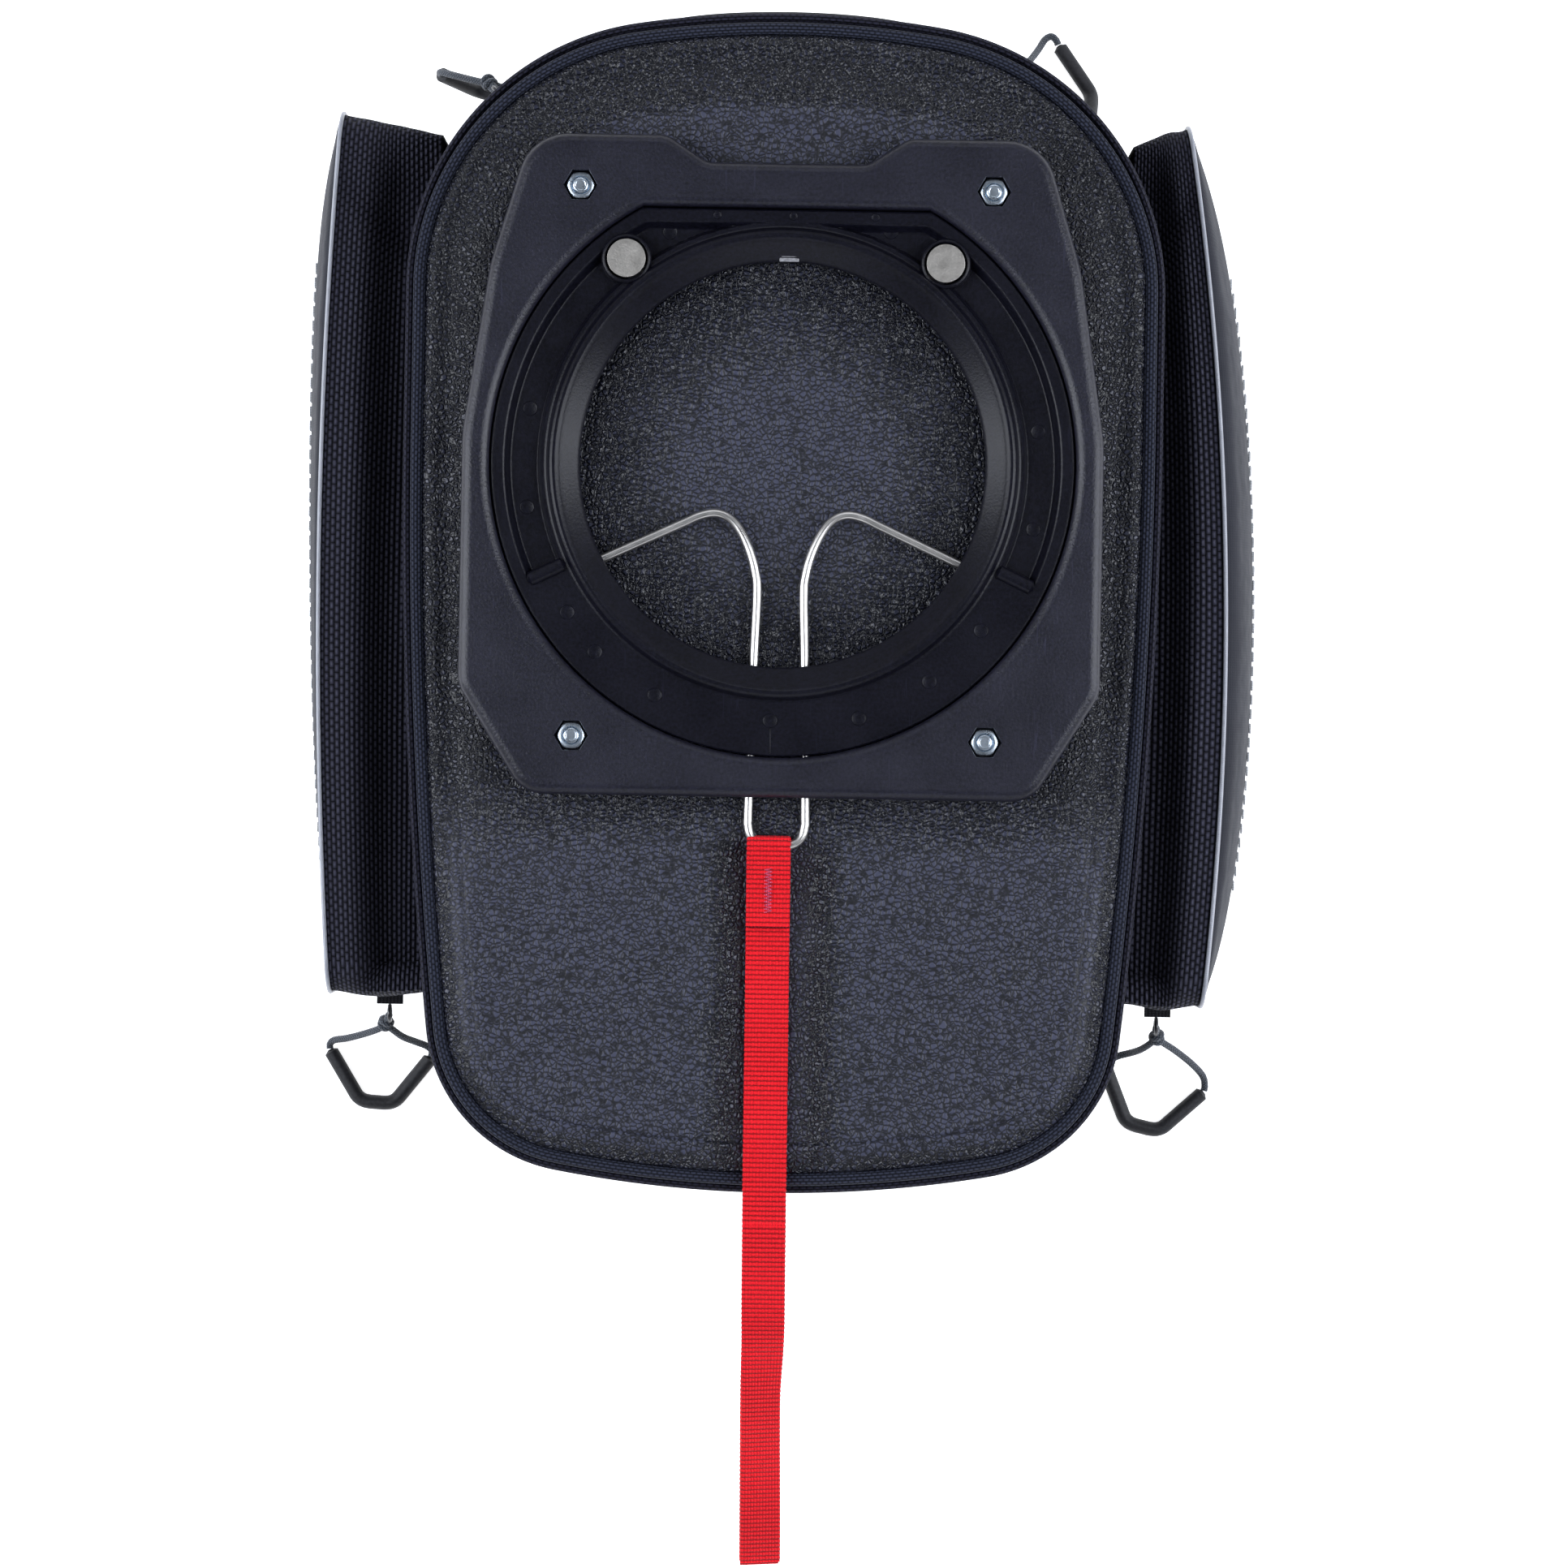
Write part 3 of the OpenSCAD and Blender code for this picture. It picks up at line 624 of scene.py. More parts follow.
def outline_arcs():
    """Half of the base outline as arcs, from the rear's middle to the front's."""
    front = np.array([0, FRONT_Y - FRONT_R])
    shoulder_x = HALF_W - SHOULDER_R
    rise = math.sqrt((FRONT_R - SHOULDER_R) ** 2 - shoulder_x**2)
    shoulder = np.array([shoulder_x, front[1] + rise])
    side = np.array([HALF_W - SIDE_R, TAPER_Y])
    corner = side + (SIDE_R - CORNER_R) * heading(-SIDE_TURN)
    reach = REAR_Y + CORNER_R
    rear_y = (reach**2 - corner @ corner) / (2 * (reach - corner[1]))
    front_turn = math.atan2(rise, shoulder_x)
    rear_turn = math.atan2(corner[1] - rear_y, corner[0])
    return [(np.array([0, rear_y]), rear_y - REAR_Y, -math.pi / 2, rear_turn),
            (corner, CORNER_R, rear_turn, -SIDE_TURN),
            (side, SIDE_R, -SIDE_TURN, 0),
            (shoulder, SHOULDER_R, 0, front_turn),
            (front, FRONT_R, front_turn, math.pi / 2)]


def outline_samples(count):
    """Points evenly spaced round the outline and the outward direction at each."""
    half = []
    for centre, radius, start, end in outline_arcs():
        for a in np.linspace(start, end, 80, endpoint=False):
            half.append((*(centre + radius * heading(a)), *heading(a)))
    half = np.array(half)
    found = evenly(np.concatenate([half, [[0, FRONT_Y, 0, 1]], half[:0:-1] * (-1, 1, -1, 1)]), count)
    found[:, 2:] /= np.linalg.norm(found[:, 2:], axis=1)[:, None]
    return found[:, :2], found[:, 2:]


EDGE, OUT = outline_samples(COLUMNS)


def tuck():
    """How far the base's edge is drawn in at the front, where the wall shows outside the piping."""
    return 1.7 + 1.0 * ease(60, 130, EDGE[:, 1])


def loop(inset, z):
    """The outline drawn in by inset, at height z; either may be one number for each column."""
    xy = EDGE - OUT * np.broadcast_to(inset, COLUMNS)[:, None]
    return np.column_stack([xy, np.broadcast_to(z, COLUMNS)])


SPINE = (-125.0, 40.0)


def filled_rows(insets, inner):
    """Rows of plan points from the outline's edge to a spine down the middle."""
    rows = [loop(inset + tuck(), 0.0)[:, :2] for inset in insets]
    last = rows[-1]
    core = np.column_stack([np.zeros(COLUMNS), np.clip(last[:, 1], *SPINE)])
    rows += [last + (core - last) * t for t in np.linspace(0, 1, inner + 1)[1:]]
    return np.array(rows)


# ---- base

BORE_R = 64.0
TROUGH_HALF, TROUGH_SIDE, TROUGH_START = 8.0, 11.0, -112.0
PLATE_REAR, PLATE_FRONT, PLATE_HALF = -105.0, 103.0, 101.0
DEEPEST, INNER_ROWS = 46.0, 42


# The base's rim beside and behind the plate: distances in from its edge and heights from its top
SIDE_LIP = [(4.6, -5.5), (5.2, -3.6), (6.0, -2.6), (7.0, -2.15), (8.6, -2.0), (10.6, -2.35), (13.0, -2.3),
            (17.0, -1.3), (22.0, -0.35), (26.0, 0.0)]
REAR_LIP = [(4.6, -5.5), (5.2, -3.6), (6.0, -2.9), (7.0, -2.4), (8.5, -1.9), (10.5, -1.0), (12.5, -0.2),
            (14.0, 0.0)]


def base_height(x, y, inset):
    """Height of the moulded base at plan places that lie inset from its edge."""
    rearward = ease(-95, -150, y)
    z = np.interp(inset, *zip(*SIDE_LIP)) * (1 - rearward) + np.interp(inset, *zip(*REAR_LIP)) * rearward
    trough = ease(TROUGH_HALF + TROUGH_SIDE, TROUGH_HALF, np.abs(x))
    trough = trough * ease(TROUGH_START, TROUGH_START - 16, y)
    z = z - 2.2 * trough * ease(4, 16, inset)
    r = np.hypot(x, y)
    z = z - 2.4 * ease(BORE_R - 2, 26, r)
    groove = np.exp(-((inset - 14.4) / 0.45) ** 2) * ease(-95, -118, y)
    return BASE_Z + z - 0.45 * groove


def deep_grain_and_shade_mask(x, y, inset):
    """Where the grain is deep: on the slopes, beside the plate and round the bore's edge. This mask also
    darkens the leather's colour, partly as painted shade beside the plate and round the bore, where the
    plate and ring stand over the base.
    """
    r = np.hypot(x, y)
    forward = ease(31, 24, inset) * ease(-128, -100, y)
    rearward = ease(11.5, 8.5, inset) * 0.8
    trough = np.exp(-((np.abs(x) - 15) / 6.0) ** 2) * ease(TROUGH_START, TROUGH_START - 10, y)
    bore = ease(22, 60, r) * ease(80, 68, r)
    plate = ease(-124, -108, y) * ease(-70, -100, y) * 0.8
    return np.clip(np.max([forward, rearward, trough, bore, plate], axis=0), 0, 1)


def make_base():
    spans_in = [(4.6, 10, 13), (10.8, 13.6, 5), (13.8, 15, 7), (16, DEEPEST, 22)]
    insets = np.concatenate([np.linspace(*span) for span in spans_in])
    plan = filled_rows(insets, INNER_ROWS)
    depth = np.concatenate([np.repeat(insets[:, None], COLUMNS, 1), np.full((INNER_ROWS, COLUMNS), DEEPEST)])
    x, y = plan[..., 0], plan[..., 1]
    z = base_height(x, y, depth)
    flat = np.column_stack([x.ravel(), y.ravel(), np.zeros(x.size)])
    soft = (0.35 * wander(flat, 26) + 0.12 * wander(flat, 7, 5.0)).reshape(x.shape)
    under_plate = (np.abs(x) < PLATE_HALF) & (y > PLATE_REAR) & (y < PLATE_FRONT) & (np.hypot(x, y) > BORE_R)
    z = np.where(under_plate, np.minimum(z, BASE_Z - 0.1), z + soft * ease(5, 12, depth) - 0.2)
    rim = np.concatenate([loop(4.2 + tuck(), BASE_Z - 7.0)[None], np.dstack([plan, z])])
    base = grid_piece("moulded_base", rim, around=True)
    # The deep-grain mask also darkens the colour: partly painted shade beside the plate, round the bore and
    # on the rim tucked under the piping
    ragged = deep_grain_and_shade_mask(x, y, depth).ravel() + 0.25 * wander(flat, 14, 2.0)
    deep_grain_and_shade = np.concatenate([np.ones(COLUMNS), np.clip(ragged, 0, 1)])
    base.data.attributes.new("deep_grain_and_shade", "FLOAT", "POINT").data.foreach_set("value", deep_grain_and_shade.astype(np.float32))
    dress(base, "base", replaces=["base_panel"])


def make_piping(name, profile, drawn_in, body, node):
    rows = [loop(inset + drawn_in, z) for inset, z in profile]
    dress(grid_piece(name, rows, around=True, over=True, sharp=60), "piping", body, [node])


def rounded_band(width, z_low, z_high, start, steps):
    """A closed oval section, width wide from the start, as (inset, z) pairs."""
    middle, half = (z_low + z_high) / 2, (z_high - z_low) / 2
    around = [heading(a) for a in full_turn(steps)]
    fuller = [np.sign(way) * np.abs(way) ** 0.8 for way in around]
    return [(start + width / 2 + width / 2 * x, middle + half * z) for x, z in fuller]


# ---- walls, lid and zips

HINGE_HALF = 62.0
LINING_IN = 4.9
TEETH_PITCH, TOOTH = 1.7, (0.95, 1.1, 1.5)


def between_seams(z, low, high):
    """0 at and beyond the two seams, 1 half-way between them."""
    return np.sin(np.pi * np.clip((z - low) / (high - low), 0, 1))


def wall_inset(z):
    """How far the wall's face lies in from the outline: a soft bulge between each pair of seams."""
    upper = between_seams(z, EXPANSION_HIGH[2], WALL_HIGH[2])
    lower = between_seams(z, ZIP_Z + 2, EXPANSION_LOW[2])
    return 1.5 - 1.7 * upper**0.7 - 0.4 * lower


def make_wall():
    top = WALL_HIGH[2]
    heights = np.concatenate([np.linspace(WALL_LOW[2], EXPANSION_LOW[2], 8), (-125, -123),
                              np.linspace(EXPANSION_HIGH[2], top - 2, 26)])
    rows = []
    for z in heights:
        row = loop(wall_inset(z), z)
        give = between_seams(z, EXPANSION_HIGH[2], top)
        sag = (0.9 * wander(row * (1, 1, 0.5), 34) + 0.35 * wander(row, 11, 9.0)) * give
        rows.append(row + level(OUT * sag[:, None], 0))
    roll = [(0.0, -1.2), (0.4, 0.1), (1.2, 0.8), (2.1, 0.5), (2.8, -0.7), (3.3, -2.6), (4.4, -3.0)]
    rows += [loop(inset, top + lift) for inset, lift in roll]
    rows += [loop(4.4, WALL_LOW[2])]
    wall = grid_piece("bag_wall", rows, around=True, over=True)
    dress(wall, "wall", replaces=["side_wall"])


def make_lining():
    low, high = corners("inner_lining")
    rows = [loop(LINING_IN, z) for z in np.linspace(low[2], high[2] - 2, 12)]
    rows = [row + level(-OUT * (0.5 + 0.5 * wander(row, 28, 3.0))[:, None], 0) for row in rows]
    rows += [loop(7, high[2] - 0.3)]
    rows += [level(plan, high[2] - 0.2) for plan in filled_rows([9, 30], 8)]
    lining = grid_piece("bag_lining", rows, around=True)
    dress(lining, "lining", replaces=["inner_lining"])
    low, high = corners("lid_lining")
    rows = [loop(LINING_IN, z) for z in np.linspace(high[2], low[2] + 1.5, 4)]
    rows += [level(plan, low[2] + 0.6) for plan in filled_rows([6, 9, 30], 8)]
    lining = grid_piece("inner_lid_lining", rows, around=True)
    dress(lining, "lining", "lid", ["lid_lining"])


def open_columns():
    """Columns from one end of the fabric hinge round the bag to the other."""
    order = np.roll(np.arange(COLUMNS), -COLUMNS // 2)
    return [i for i in order if abs(EDGE[i][0]) > HINGE_HALF or EDGE[i][1] < 0]


def make_zip(name, z_low, z_high, teeth_z, columns, body, replaces):
    """A woven tape with a raised edge, and its rows of coil teeth."""
    middle = (z_low + z_high) / 2
    section = [(0.9, z_low), (0.5, z_low + 0.3), (0.45, middle), (0.5, z_high - 0.3), (0.9, z_high),
               (1.4, z_high), (1.4, z_low)]
    rows = [loop(inset, z)[columns] for inset, z in section]
    tape = grid_piece(name + "_tape", rows, around=len(columns) == COLUMNS, over=True)
    dress(tape, "tape", body, replaces)
    spine = resample(loop(0.1, 0.0)[columns], TEETH_PITCH)
    along = frames(spine)[0]
    teeth = []
    for z in teeth_z:
        for spot, way in zip(spine[1:-1], along[1:-1]):
            teeth.append(block(TOOTH, (*spot[:2], z), way, np.cross(way, (0, 0, 1)), 0.0))
    coil = joined(name + "_coil", teeth)
    rounded = coil.modifiers.new("round", "BEVEL")
    rounded.width = 0.22 * MM
    rounded.segments = 1
    dress(coil, "teeth", body)


def make_lid():
    low, high = corners("lid_panel")
    step = low[2] + 6
    crown = [(4.4, high[2]), (1.8, high[2]), (1.5, high[2] - 0.6), (1.5, step + 0.7), (2.1, step + 0.1),
             (8.5, step - 0.4), (9.9, step - 1.2), (10.6, step - 2.6), (11.4, low[2] + 1.4),
             (13.0, low[2] + 0.45), (16.0, low[2] + 0.08)]
    rows = [loop(inset, z) for inset, z in crown]
    rows += [level(plan, low[2]) for plan in filled_rows([20, 30, 44], 8)]
    panel = grid_piece("moulded_lid", rows, around=True)
    dress(panel, "lid", "lid", ["lid_panel"])
    low, high = corners("lid_gusset")
    heights = np.linspace(low[2] + 0.1, high[2], 8)
    rows = [loop(1.4 - 0.5 * math.sin(math.pi * k / 7), z) for k, z in enumerate(heights)]
    rows += [loop(4.3, high[2]), loop(4.3, low[2] + 0.1)]
    dress(grid_piece("lid_wall", rows, around=True, over=True), "wall", "lid", ["lid_gusset"])
    low, high = corners("lid_piping")
    make_piping("lid_edge_piping", rounded_band(2.6, low[2], high[2], -0.3, 14), 0.0, "lid", "lid_piping")


def front_arc(angle, beyond):
    """A place on the front arc, at an angle from its middle and a distance beyond the outline."""
    a = math.radians(angle)
    return np.array([(FRONT_R + beyond) * math.sin(a), FRONT_Y - FRONT_R + (FRONT_R + beyond) * math.cos(a)])


def make_hinge_flap():
    low, high = corners("lid_hinge_flap")
    angles = np.linspace(-11, 11, 60)
    rows = []
    for z in np.linspace(low[2] - 4.5, high[2], 14):
        swell = 0.5 + 0.5 * math.exp(-(((z - low[2]) / 3.0) ** 2))
        rows.append([(*front_arc(a, swell), z) for a in angles])
    for z in np.linspace(high[2], low[2] - 4.5, 8):
        rows.append([(*front_arc(a, -0.9), z) for a in angles])
    flap = grid_piece("fabric_hinge", rows, over=True)
    flap.data.materials.append(LOOKS["wall"])
    outward(flap)
    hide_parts("lid_hinge_flap")
    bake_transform(flap)


HANDLE_PROUD, HANDLE_THICK, HANDLE_SPREAD = 8.7, 2.2, 11.6


def make_handle():
    low, high = corners("carry_handle")
    height = high[2] - low[2]
    angles = np.linspace(-HANDLE_SPREAD, HANDLE_SPREAD, 120)
    lift = HANDLE_PROUD * np.clip(1 - (np.abs(angles) / HANDLE_SPREAD) ** 5, 0, 1) ** 0.8 - 0.2
    middle = np.array([front_arc(a, b) for a, b in zip(angles, lift)])
    along = np.gradient(middle, axis=0)
    across = np.column_stack([along[:, 1], -along[:, 0]]) / np.linalg.norm(along, axis=1)[:, None]
    across *= np.sign(across[:, 1])[:, None]
    section = [(0.5, 0.0), (1, 0.02), (1, 0.5), (1, 0.98), (0.5, 1)]
    section += [(-side, t) for side, t in section[::-1]]
    rows = [level(middle + across * HANDLE_THICK / 2 * side, low[2] + height * t) for side, t in section]
    handle = grid_piece("webbing_handle", rows, over=True)
    dress(handle, "handle", replaces=["carry_handle"])
    stitches = []
    for side in (-1, 1):
        spot = front_arc(side * (HANDLE_SPREAD - 0.9), 1.9)
        for t in np.linspace(0.12, 0.88, 7):
            stitches.append(block((0.5, 0.5, 2.2), (*spot, low[2] + height * t), round_by=0.15))
    dress(joined("handle_stitches", stitches), "thread")


# ---- plate, ring and fasteners

# The right half of the plate's outline from the rear: X, Y and the corner's radius
PLATE_HALF_CORNERS = [(80, -105, 12), (101, -71, 12), (101, 8, 60), (93, 62, 60), (80.7, 103, 16),
                      (38, 103, 8), (25, 94.5, 8)]
PLATE_DEPTH = 13.0
EDGE_ROUND, OPENING_ROUND, OPENING_DROP = 3.4, 3.4, 2.8
OPENING_R, OPENING_Y = 92.4, 80.6
RING_R, CHORD_Y = 92.0, 80.0
SCREWS = [(65.0 * sx, 86.5 * sy) for sx in (-1, 1) for sy in (-1, 1)]
NUT_POCKET = [(5.5, 0.0), (5.3, -0.35), (5.2, -5.5), (2.7, -5.5)]


def rounded_outline(points, steps=10):
    """A polygon with rounded corners: places and outward directions."""
    found = []
    for k, (*here, radius) in enumerate(points):
        before, after = (np.array(points[(k + d) % len(points)][:2], float) for d in (-1, 1))
        u, v = unit(before - here), unit(after - here)
        half = math.acos(np.clip(u @ v, -1, 1)) / 2
        centre = here + unit(u + v) * radius / math.sin(half)
        turn = np.sign(u[0] * v[1] - u[1] * v[0])
        a, b = (math.atan2(*(here + w * radius / math.tan(half) - centre)[::-1]) for w in (u, v))
        sweep = (b - a + math.pi) % (2 * math.pi) - math.pi
        for t in np.linspace(0, 1, steps):
            way = heading(a + sweep * t)
            found.append((*(centre + radius * way), *(-turn * way)))
    return np.array(found)


def opening_outline():
    """The plate's opening, a circle cut off by a chord, with its outward directions."""
    found = []
    for a in full_turn(160):
        way = heading(a)
        spot = OPENING_R * way
        if spot[1] > OPENING_Y:
            spot, way = spot * OPENING_Y / spot[1], np.array([0.0, 1.0])
        found.append((*spot, *way))
    return np.array(found)


def shifted(outline, by, z):
    return level(outline[:, :2] + outline[:, 2:] * by, z)


def hexagon(at, radius, z):
    return [(*(at + radius * heading(math.radians(60 * k))), z) for k in range(6)]


def plate_face(outlines):
    """The plate's flat face inside the first outline and outside the others."""
    shape = bmesh.new()
    edges = []
    for ring in outlines:
        made = [shape.verts.new(p) for p in ring]
        edges += [shape.edges.new((made[k], made[(k + 1) % len(made)])) for k in range(len(made))]
    bmesh.ops.triangle_fill(shape, use_beauty=True, edges=edges, normal=(0, 0, 1))
    return plain(shape)


def make_plate():
    half = PLATE_HALF_CORNERS
    outer = rounded_outline(half + [(-x, y, r) for x, y, r in half[::-1]])
    opening = opening_outline()
    outer_rows = [shifted(outer, -EDGE_ROUND - 0.5, 0.0)]
    inner_rows = [shifted(opening, OPENING_ROUND + 0.3, 0.0)]
    for a in np.linspace(0, math.pi / 2, 8):
        inward, down = 1 - math.sin(a), 1 - math.cos(a)
        outer_rows.append(shifted(outer, -EDGE_ROUND * inward, -EDGE_ROUND * down))
        inner_rows.append(shifted(opening, OPENING_ROUND * inward, -OPENING_DROP * down))
    outer_rows += [shifted(outer, 0, -PLATE_DEPTH + 0.8), shifted(outer, -0.8, -PLATE_DEPTH)]
    inner_rows += [shifted(opening, 0, -PLATE_DEPTH)]
    pockets = [[hexagon(spot, radius, z) for radius, z in NUT_POCKET] for spot in SCREWS]
    face = plate_face([outer_rows[0], inner_rows[0], *(walls[0] for walls in pockets)])
    parts = [face, *(grid(rows, around=True) for rows in (outer_rows, inner_rows, *pockets))]
    plate = joined("ring_plate", parts)
    weld(plate, 24)
    dress(plate, "plate", replaces=["mounting_plate"])


def weld(piece, sharp):
    """Joins points that lie together, then marks edges over the given angle as sharp."""
    shape = bmesh.new()
    shape.from_mesh(piece.data)
    bmesh.ops.remove_doubles(shape, verts=shape.verts, dist=0.01 * MM)
    shape.to_mesh(piece.data)
    shape.free()
    piece.data.set_sharp_from_angle(angle=math.radians(sharp))


# The ring's rim from the bore outwards: radii and heights
RIM = [(64.0, -5.9), (64.35, -5.3), (69.9, -1.35), (70.8, -0.5), (71.6, -0.08), (72.5, -0.05), (73.3, -0.55),
       (73.8, -1.3), (74.4, -2.75), (75.0, -3.0)]
RIM_END = 75.2
LEDGE_Z, CHANNEL_Z = -3.0, -6.5
CHANNEL_IN_R, CHANNEL_OUT, CHANNEL_LIP = 77.4, 6.6, 3.9
STOP_ANGLE, STOP_R, STOP_END = -25.5, 2.3, 88.2
CUP_ANGLE, CUP_R = 51.8, 81.2
CUP_WALL = [(6.6, -5.4), (6.6, -1.9), (6.8, -1.5), (7.0, -1.4), (7.5, -1.55), (7.8, -1.9), (7.9, -2.6),
            (8.1, CHANNEL_Z - 0.3)]
# Marks that ejector pins left: angle and radius
CHANNEL_MARKS = [(168.4, 81.5), (190.4, 81.7), (-13.5, 81.6), (8.3, 81.2), (116.8, 81.4), (66, 81.0)]
LEDGE_MARKS = [(215.5, 82.2), (-39, 81.5), (242, 83.0), (-72.3, 83.5), (268.2, 80.8), (226, 83.5),
               (-55, 82.5)]
RING_COLUMNS = 720


def ring_height(x, y):
    """Height of the lock ring's face: a cone, its crest, a ledge and a channel above the stops."""
    r = np.hypot(x, y)
    rim = np.interp(r, *zip(*RIM))
    edge = np.minimum(RING_R - r, CHORD_Y - y)
    angle = np.degrees(np.arctan2(y, np.abs(x)))
    above = ease(STOP_ANGLE - 0.3, STOP_ANGLE + 0.3, angle)
    depth = np.minimum(ease(CHANNEL_IN_R - 1.4, CHANNEL_IN_R, r), ease(CHANNEL_LIP, CHANNEL_OUT, edge))
    floor = LEDGE_Z + (CHANNEL_Z - LEDGE_Z) * depth * above
    lip = -0.5 * ease(0.5, 0.0, edge)
    return np.where(r < RIM_END - 0.2, rim, floor + lip)


def ring_face():
    """The ring's face and rim, from under its bore to under its outer edge."""
    turns = full_turn(RING_COLUMNS)
    limit = np.minimum(RING_R, CHORD_Y / np.maximum(np.sin(turns), 1e-3))
    limit[np.sin(turns) <= 0] = RING_R
    inner = [64.0, 64.35, *np.linspace(65, 69.9, 6), *np.linspace(70.2, RIM_END, 21)]
    rows = [np.minimum(r, limit) for r in inner]
    rows += [RIM_END + (limit - RIM_END) * t for t in np.linspace(0, 1, 44)[1:]]
    face = []
    for radii in rows:
        x, y = radii * np.cos(turns), radii * np.sin(turns)
        face.append(np.column_stack([x, y, ring_height(x, y)]))
    bore, edge = face[0], face[-1]
    below = [level(edge, -8.5), level(edge, -13.0), level(edge * 0.974, -13.0)]
    return grid([level(bore * 1.02, -9.0), level(bore, -8.5), *face, *below], around=True)


def polar(angle, radius):
    """A place at an angle in degrees and a distance from the ring's axis."""
    return radius * heading(math.radians(angle))


def ejector_mark(at, z, radius=2.3):
    bump = [(0.05 - radius, 0.15), (-0.5, 0.15), (-0.12, 0.25), (0, 0.1), (0.05, -0.1)]
    return turned([(radius + r, height) for r, height in bump], (*at, z), 28)


def make_ring():
    parts = [ring_face()]
    for side in (1, -1):
        reach = np.linspace(RIM_END, STOP_END, 14)
        path = [(*polar(STOP_ANGLE, r) * (side, 1), LEDGE_Z - 0.3) for r in reach]
        parts.append(rod(path, STOP_R, 20, 1.2))
        parts.append(turned(CUP_WALL, (*polar(CUP_ANGLE, CUP_R) * (side, 1), 0), 48, caps=False))
    parts += [ejector_mark(polar(*spot), CHANNEL_Z) for spot in CHANNEL_MARKS]
    parts += [ejector_mark(polar(*spot), LEDGE_Z) for spot in LEDGE_MARKS]
    parts += [ejector_mark((x, 78.0), LEDGE_Z, 1.3) for x in (-21.8, 2.1, 27.9)]
    parts.append(block((0.35, 8.0, 0.3), (-2.4, -87.2, LEDGE_Z + 0.02), round_by=0.1))
    ring = joined("locking_ring", parts)
    weld(ring, 28)
    dress(ring, "ring", replaces=["lock_ring"])
    tab = joined("ring_notch", [block((6.2, 2.0, 0.8), (1.0, 64.9, -5.2), round_by=0.2),
                                block((5.0, 0.5, 0.5), (1.0, 65.6, -4.7), round_by=0.15)])
    dress(tab, "tab")


def soften(node, look, width):
    """A CAD node keeps its shape and gets a rounded edge and its finish."""
    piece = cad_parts[node]
    piece.data.materials.clear()
    piece.data.materials.append(LOOKS[look])
    piece.modifiers.new("weld", "WELD").merge_threshold = 0.00001
    bevel = piece.modifiers.new("edge", "BEVEL")
    bevel.width = width * MM
    bevel.segments = 2
    bevel.angle_limit = math.radians(30)
    bevel.harden_normals = True


NUT_FLAT, CROWN_R, CROWN_Z = 4.0, 3.85, -1.5
# The nut from its foot to its hole, as (greatest radius, height), and the screw's tip. The height of the
# nut's chamfer, None here, falls with the radius.
NUT = [(9.0, -5.5), (9.0, -2.2), (4.25, None), (CROWN_R, CROWN_Z), (2.9, CROWN_Z), (2.55, -1.95)]
SCREW_TIP = [(0.1, -1.9), (0.9, -1.7), (1.3, -1.0), (1.6, -0.78), (2.1, -0.8), (2.5, -1.1), (2.5, -1.9)]


def make_nuts():
    """Hexagon nuts with a chamfered crown, and the hollow tips of the screws in them."""
    turn = full_turn(72)
    flat = NUT_FLAT / np.cos((turn % math.radians(60)) - math.radians(30))
    nuts, tips = [], []
    for x, y in SCREWS:
        rows = []
        for limit, z in NUT:
            radius = np.minimum(flat, limit)
            height = CROWN_Z - 0.55 * np.maximum(0, radius - CROWN_R) if z is None else np.full(72, z)
            rows.append(np.column_stack([x + radius * np.cos(turn), y + radius * np.sin(turn), height]))
        nuts.append(grid(rows, around=True))
        tips.append(turned(SCREW_TIP, (x, y, 0), 36))
    dress(joined("plate_nuts", nuts, sharp=30), "zinc", replaces=["hex_nuts"])
    dress(joined("screw_tips", tips, sharp=50), "zinc")


def make_fasteners():
    make_nuts()
    soften("plate_screws", "zinc", 0.5)
    soften("screw_washers", "zinc", 0.2)
    soften("ring_magnets", "nickel", 0.8)
    soften("base_stiffener", "plate", 0.4)


# ---- release wire and strap

# The right half of the wire in plan, from the middle of its loop to its end under the ring
WIRE_HALF = [(0, -120), (3.4, -120), (6.2, -119.2), (8.2, -117), (9, -113.5), (9, -109), (8.1, -64),
             (7.4, -41), (8, -34), (9.8, -27.4), (13, -20.8), (16.6, -16.8), (21, -15.3), (26, -16.3),
             (31, -18.6), (42, -23.7), (72, -37.5)]


def make_wire():
    right = [(x, y, WIRE_Z) for x, y in WIRE_HALF]
    path = smooth_path([(-x, y, z) for x, y, z in right[:0:-1]] + right, 0.9)
    wire = joined("release_wire", [rod(path, WIRE_R, 16, 1.0)])
    dress(wire, "wire", "release", ["wire_clip"])


STRAP_ROUTE = [(-123, -13.4), (-228, -13.4), (-240, -13.9), (-255, -15.8), (-270, -18.8), (-285, -22.8),
               (-300, -27.4), (-315, -32.6), (-330, -38.2), (-345, -44.2), (-352, -47.2)]
STRAP_W, WEB_T = 13.6, 1.4
ROW_PITCH = 1.58
FLAP_END, FLAP_Z = -145.7, -11.1
TACK_STITCHES = 26


def strap_x(y):
    """The strap lies against one arm of the wire and swings back to the middle."""
    return np.interp(y, [-352, -230, -118], [-1.0, -1.8, -2.3])


def strap_roll(y):
    """The loose end's slight twist."""
    return math.radians(27.0) * ease(-262, -298, y) - math.radians(6.0) * ease(-300, -350, y)


def strap_side(y):
    """The direction across the strap."""
    roll = float(strap_roll(y))
    return np.array([math.cos(roll), 0, -math.sin(roll)])


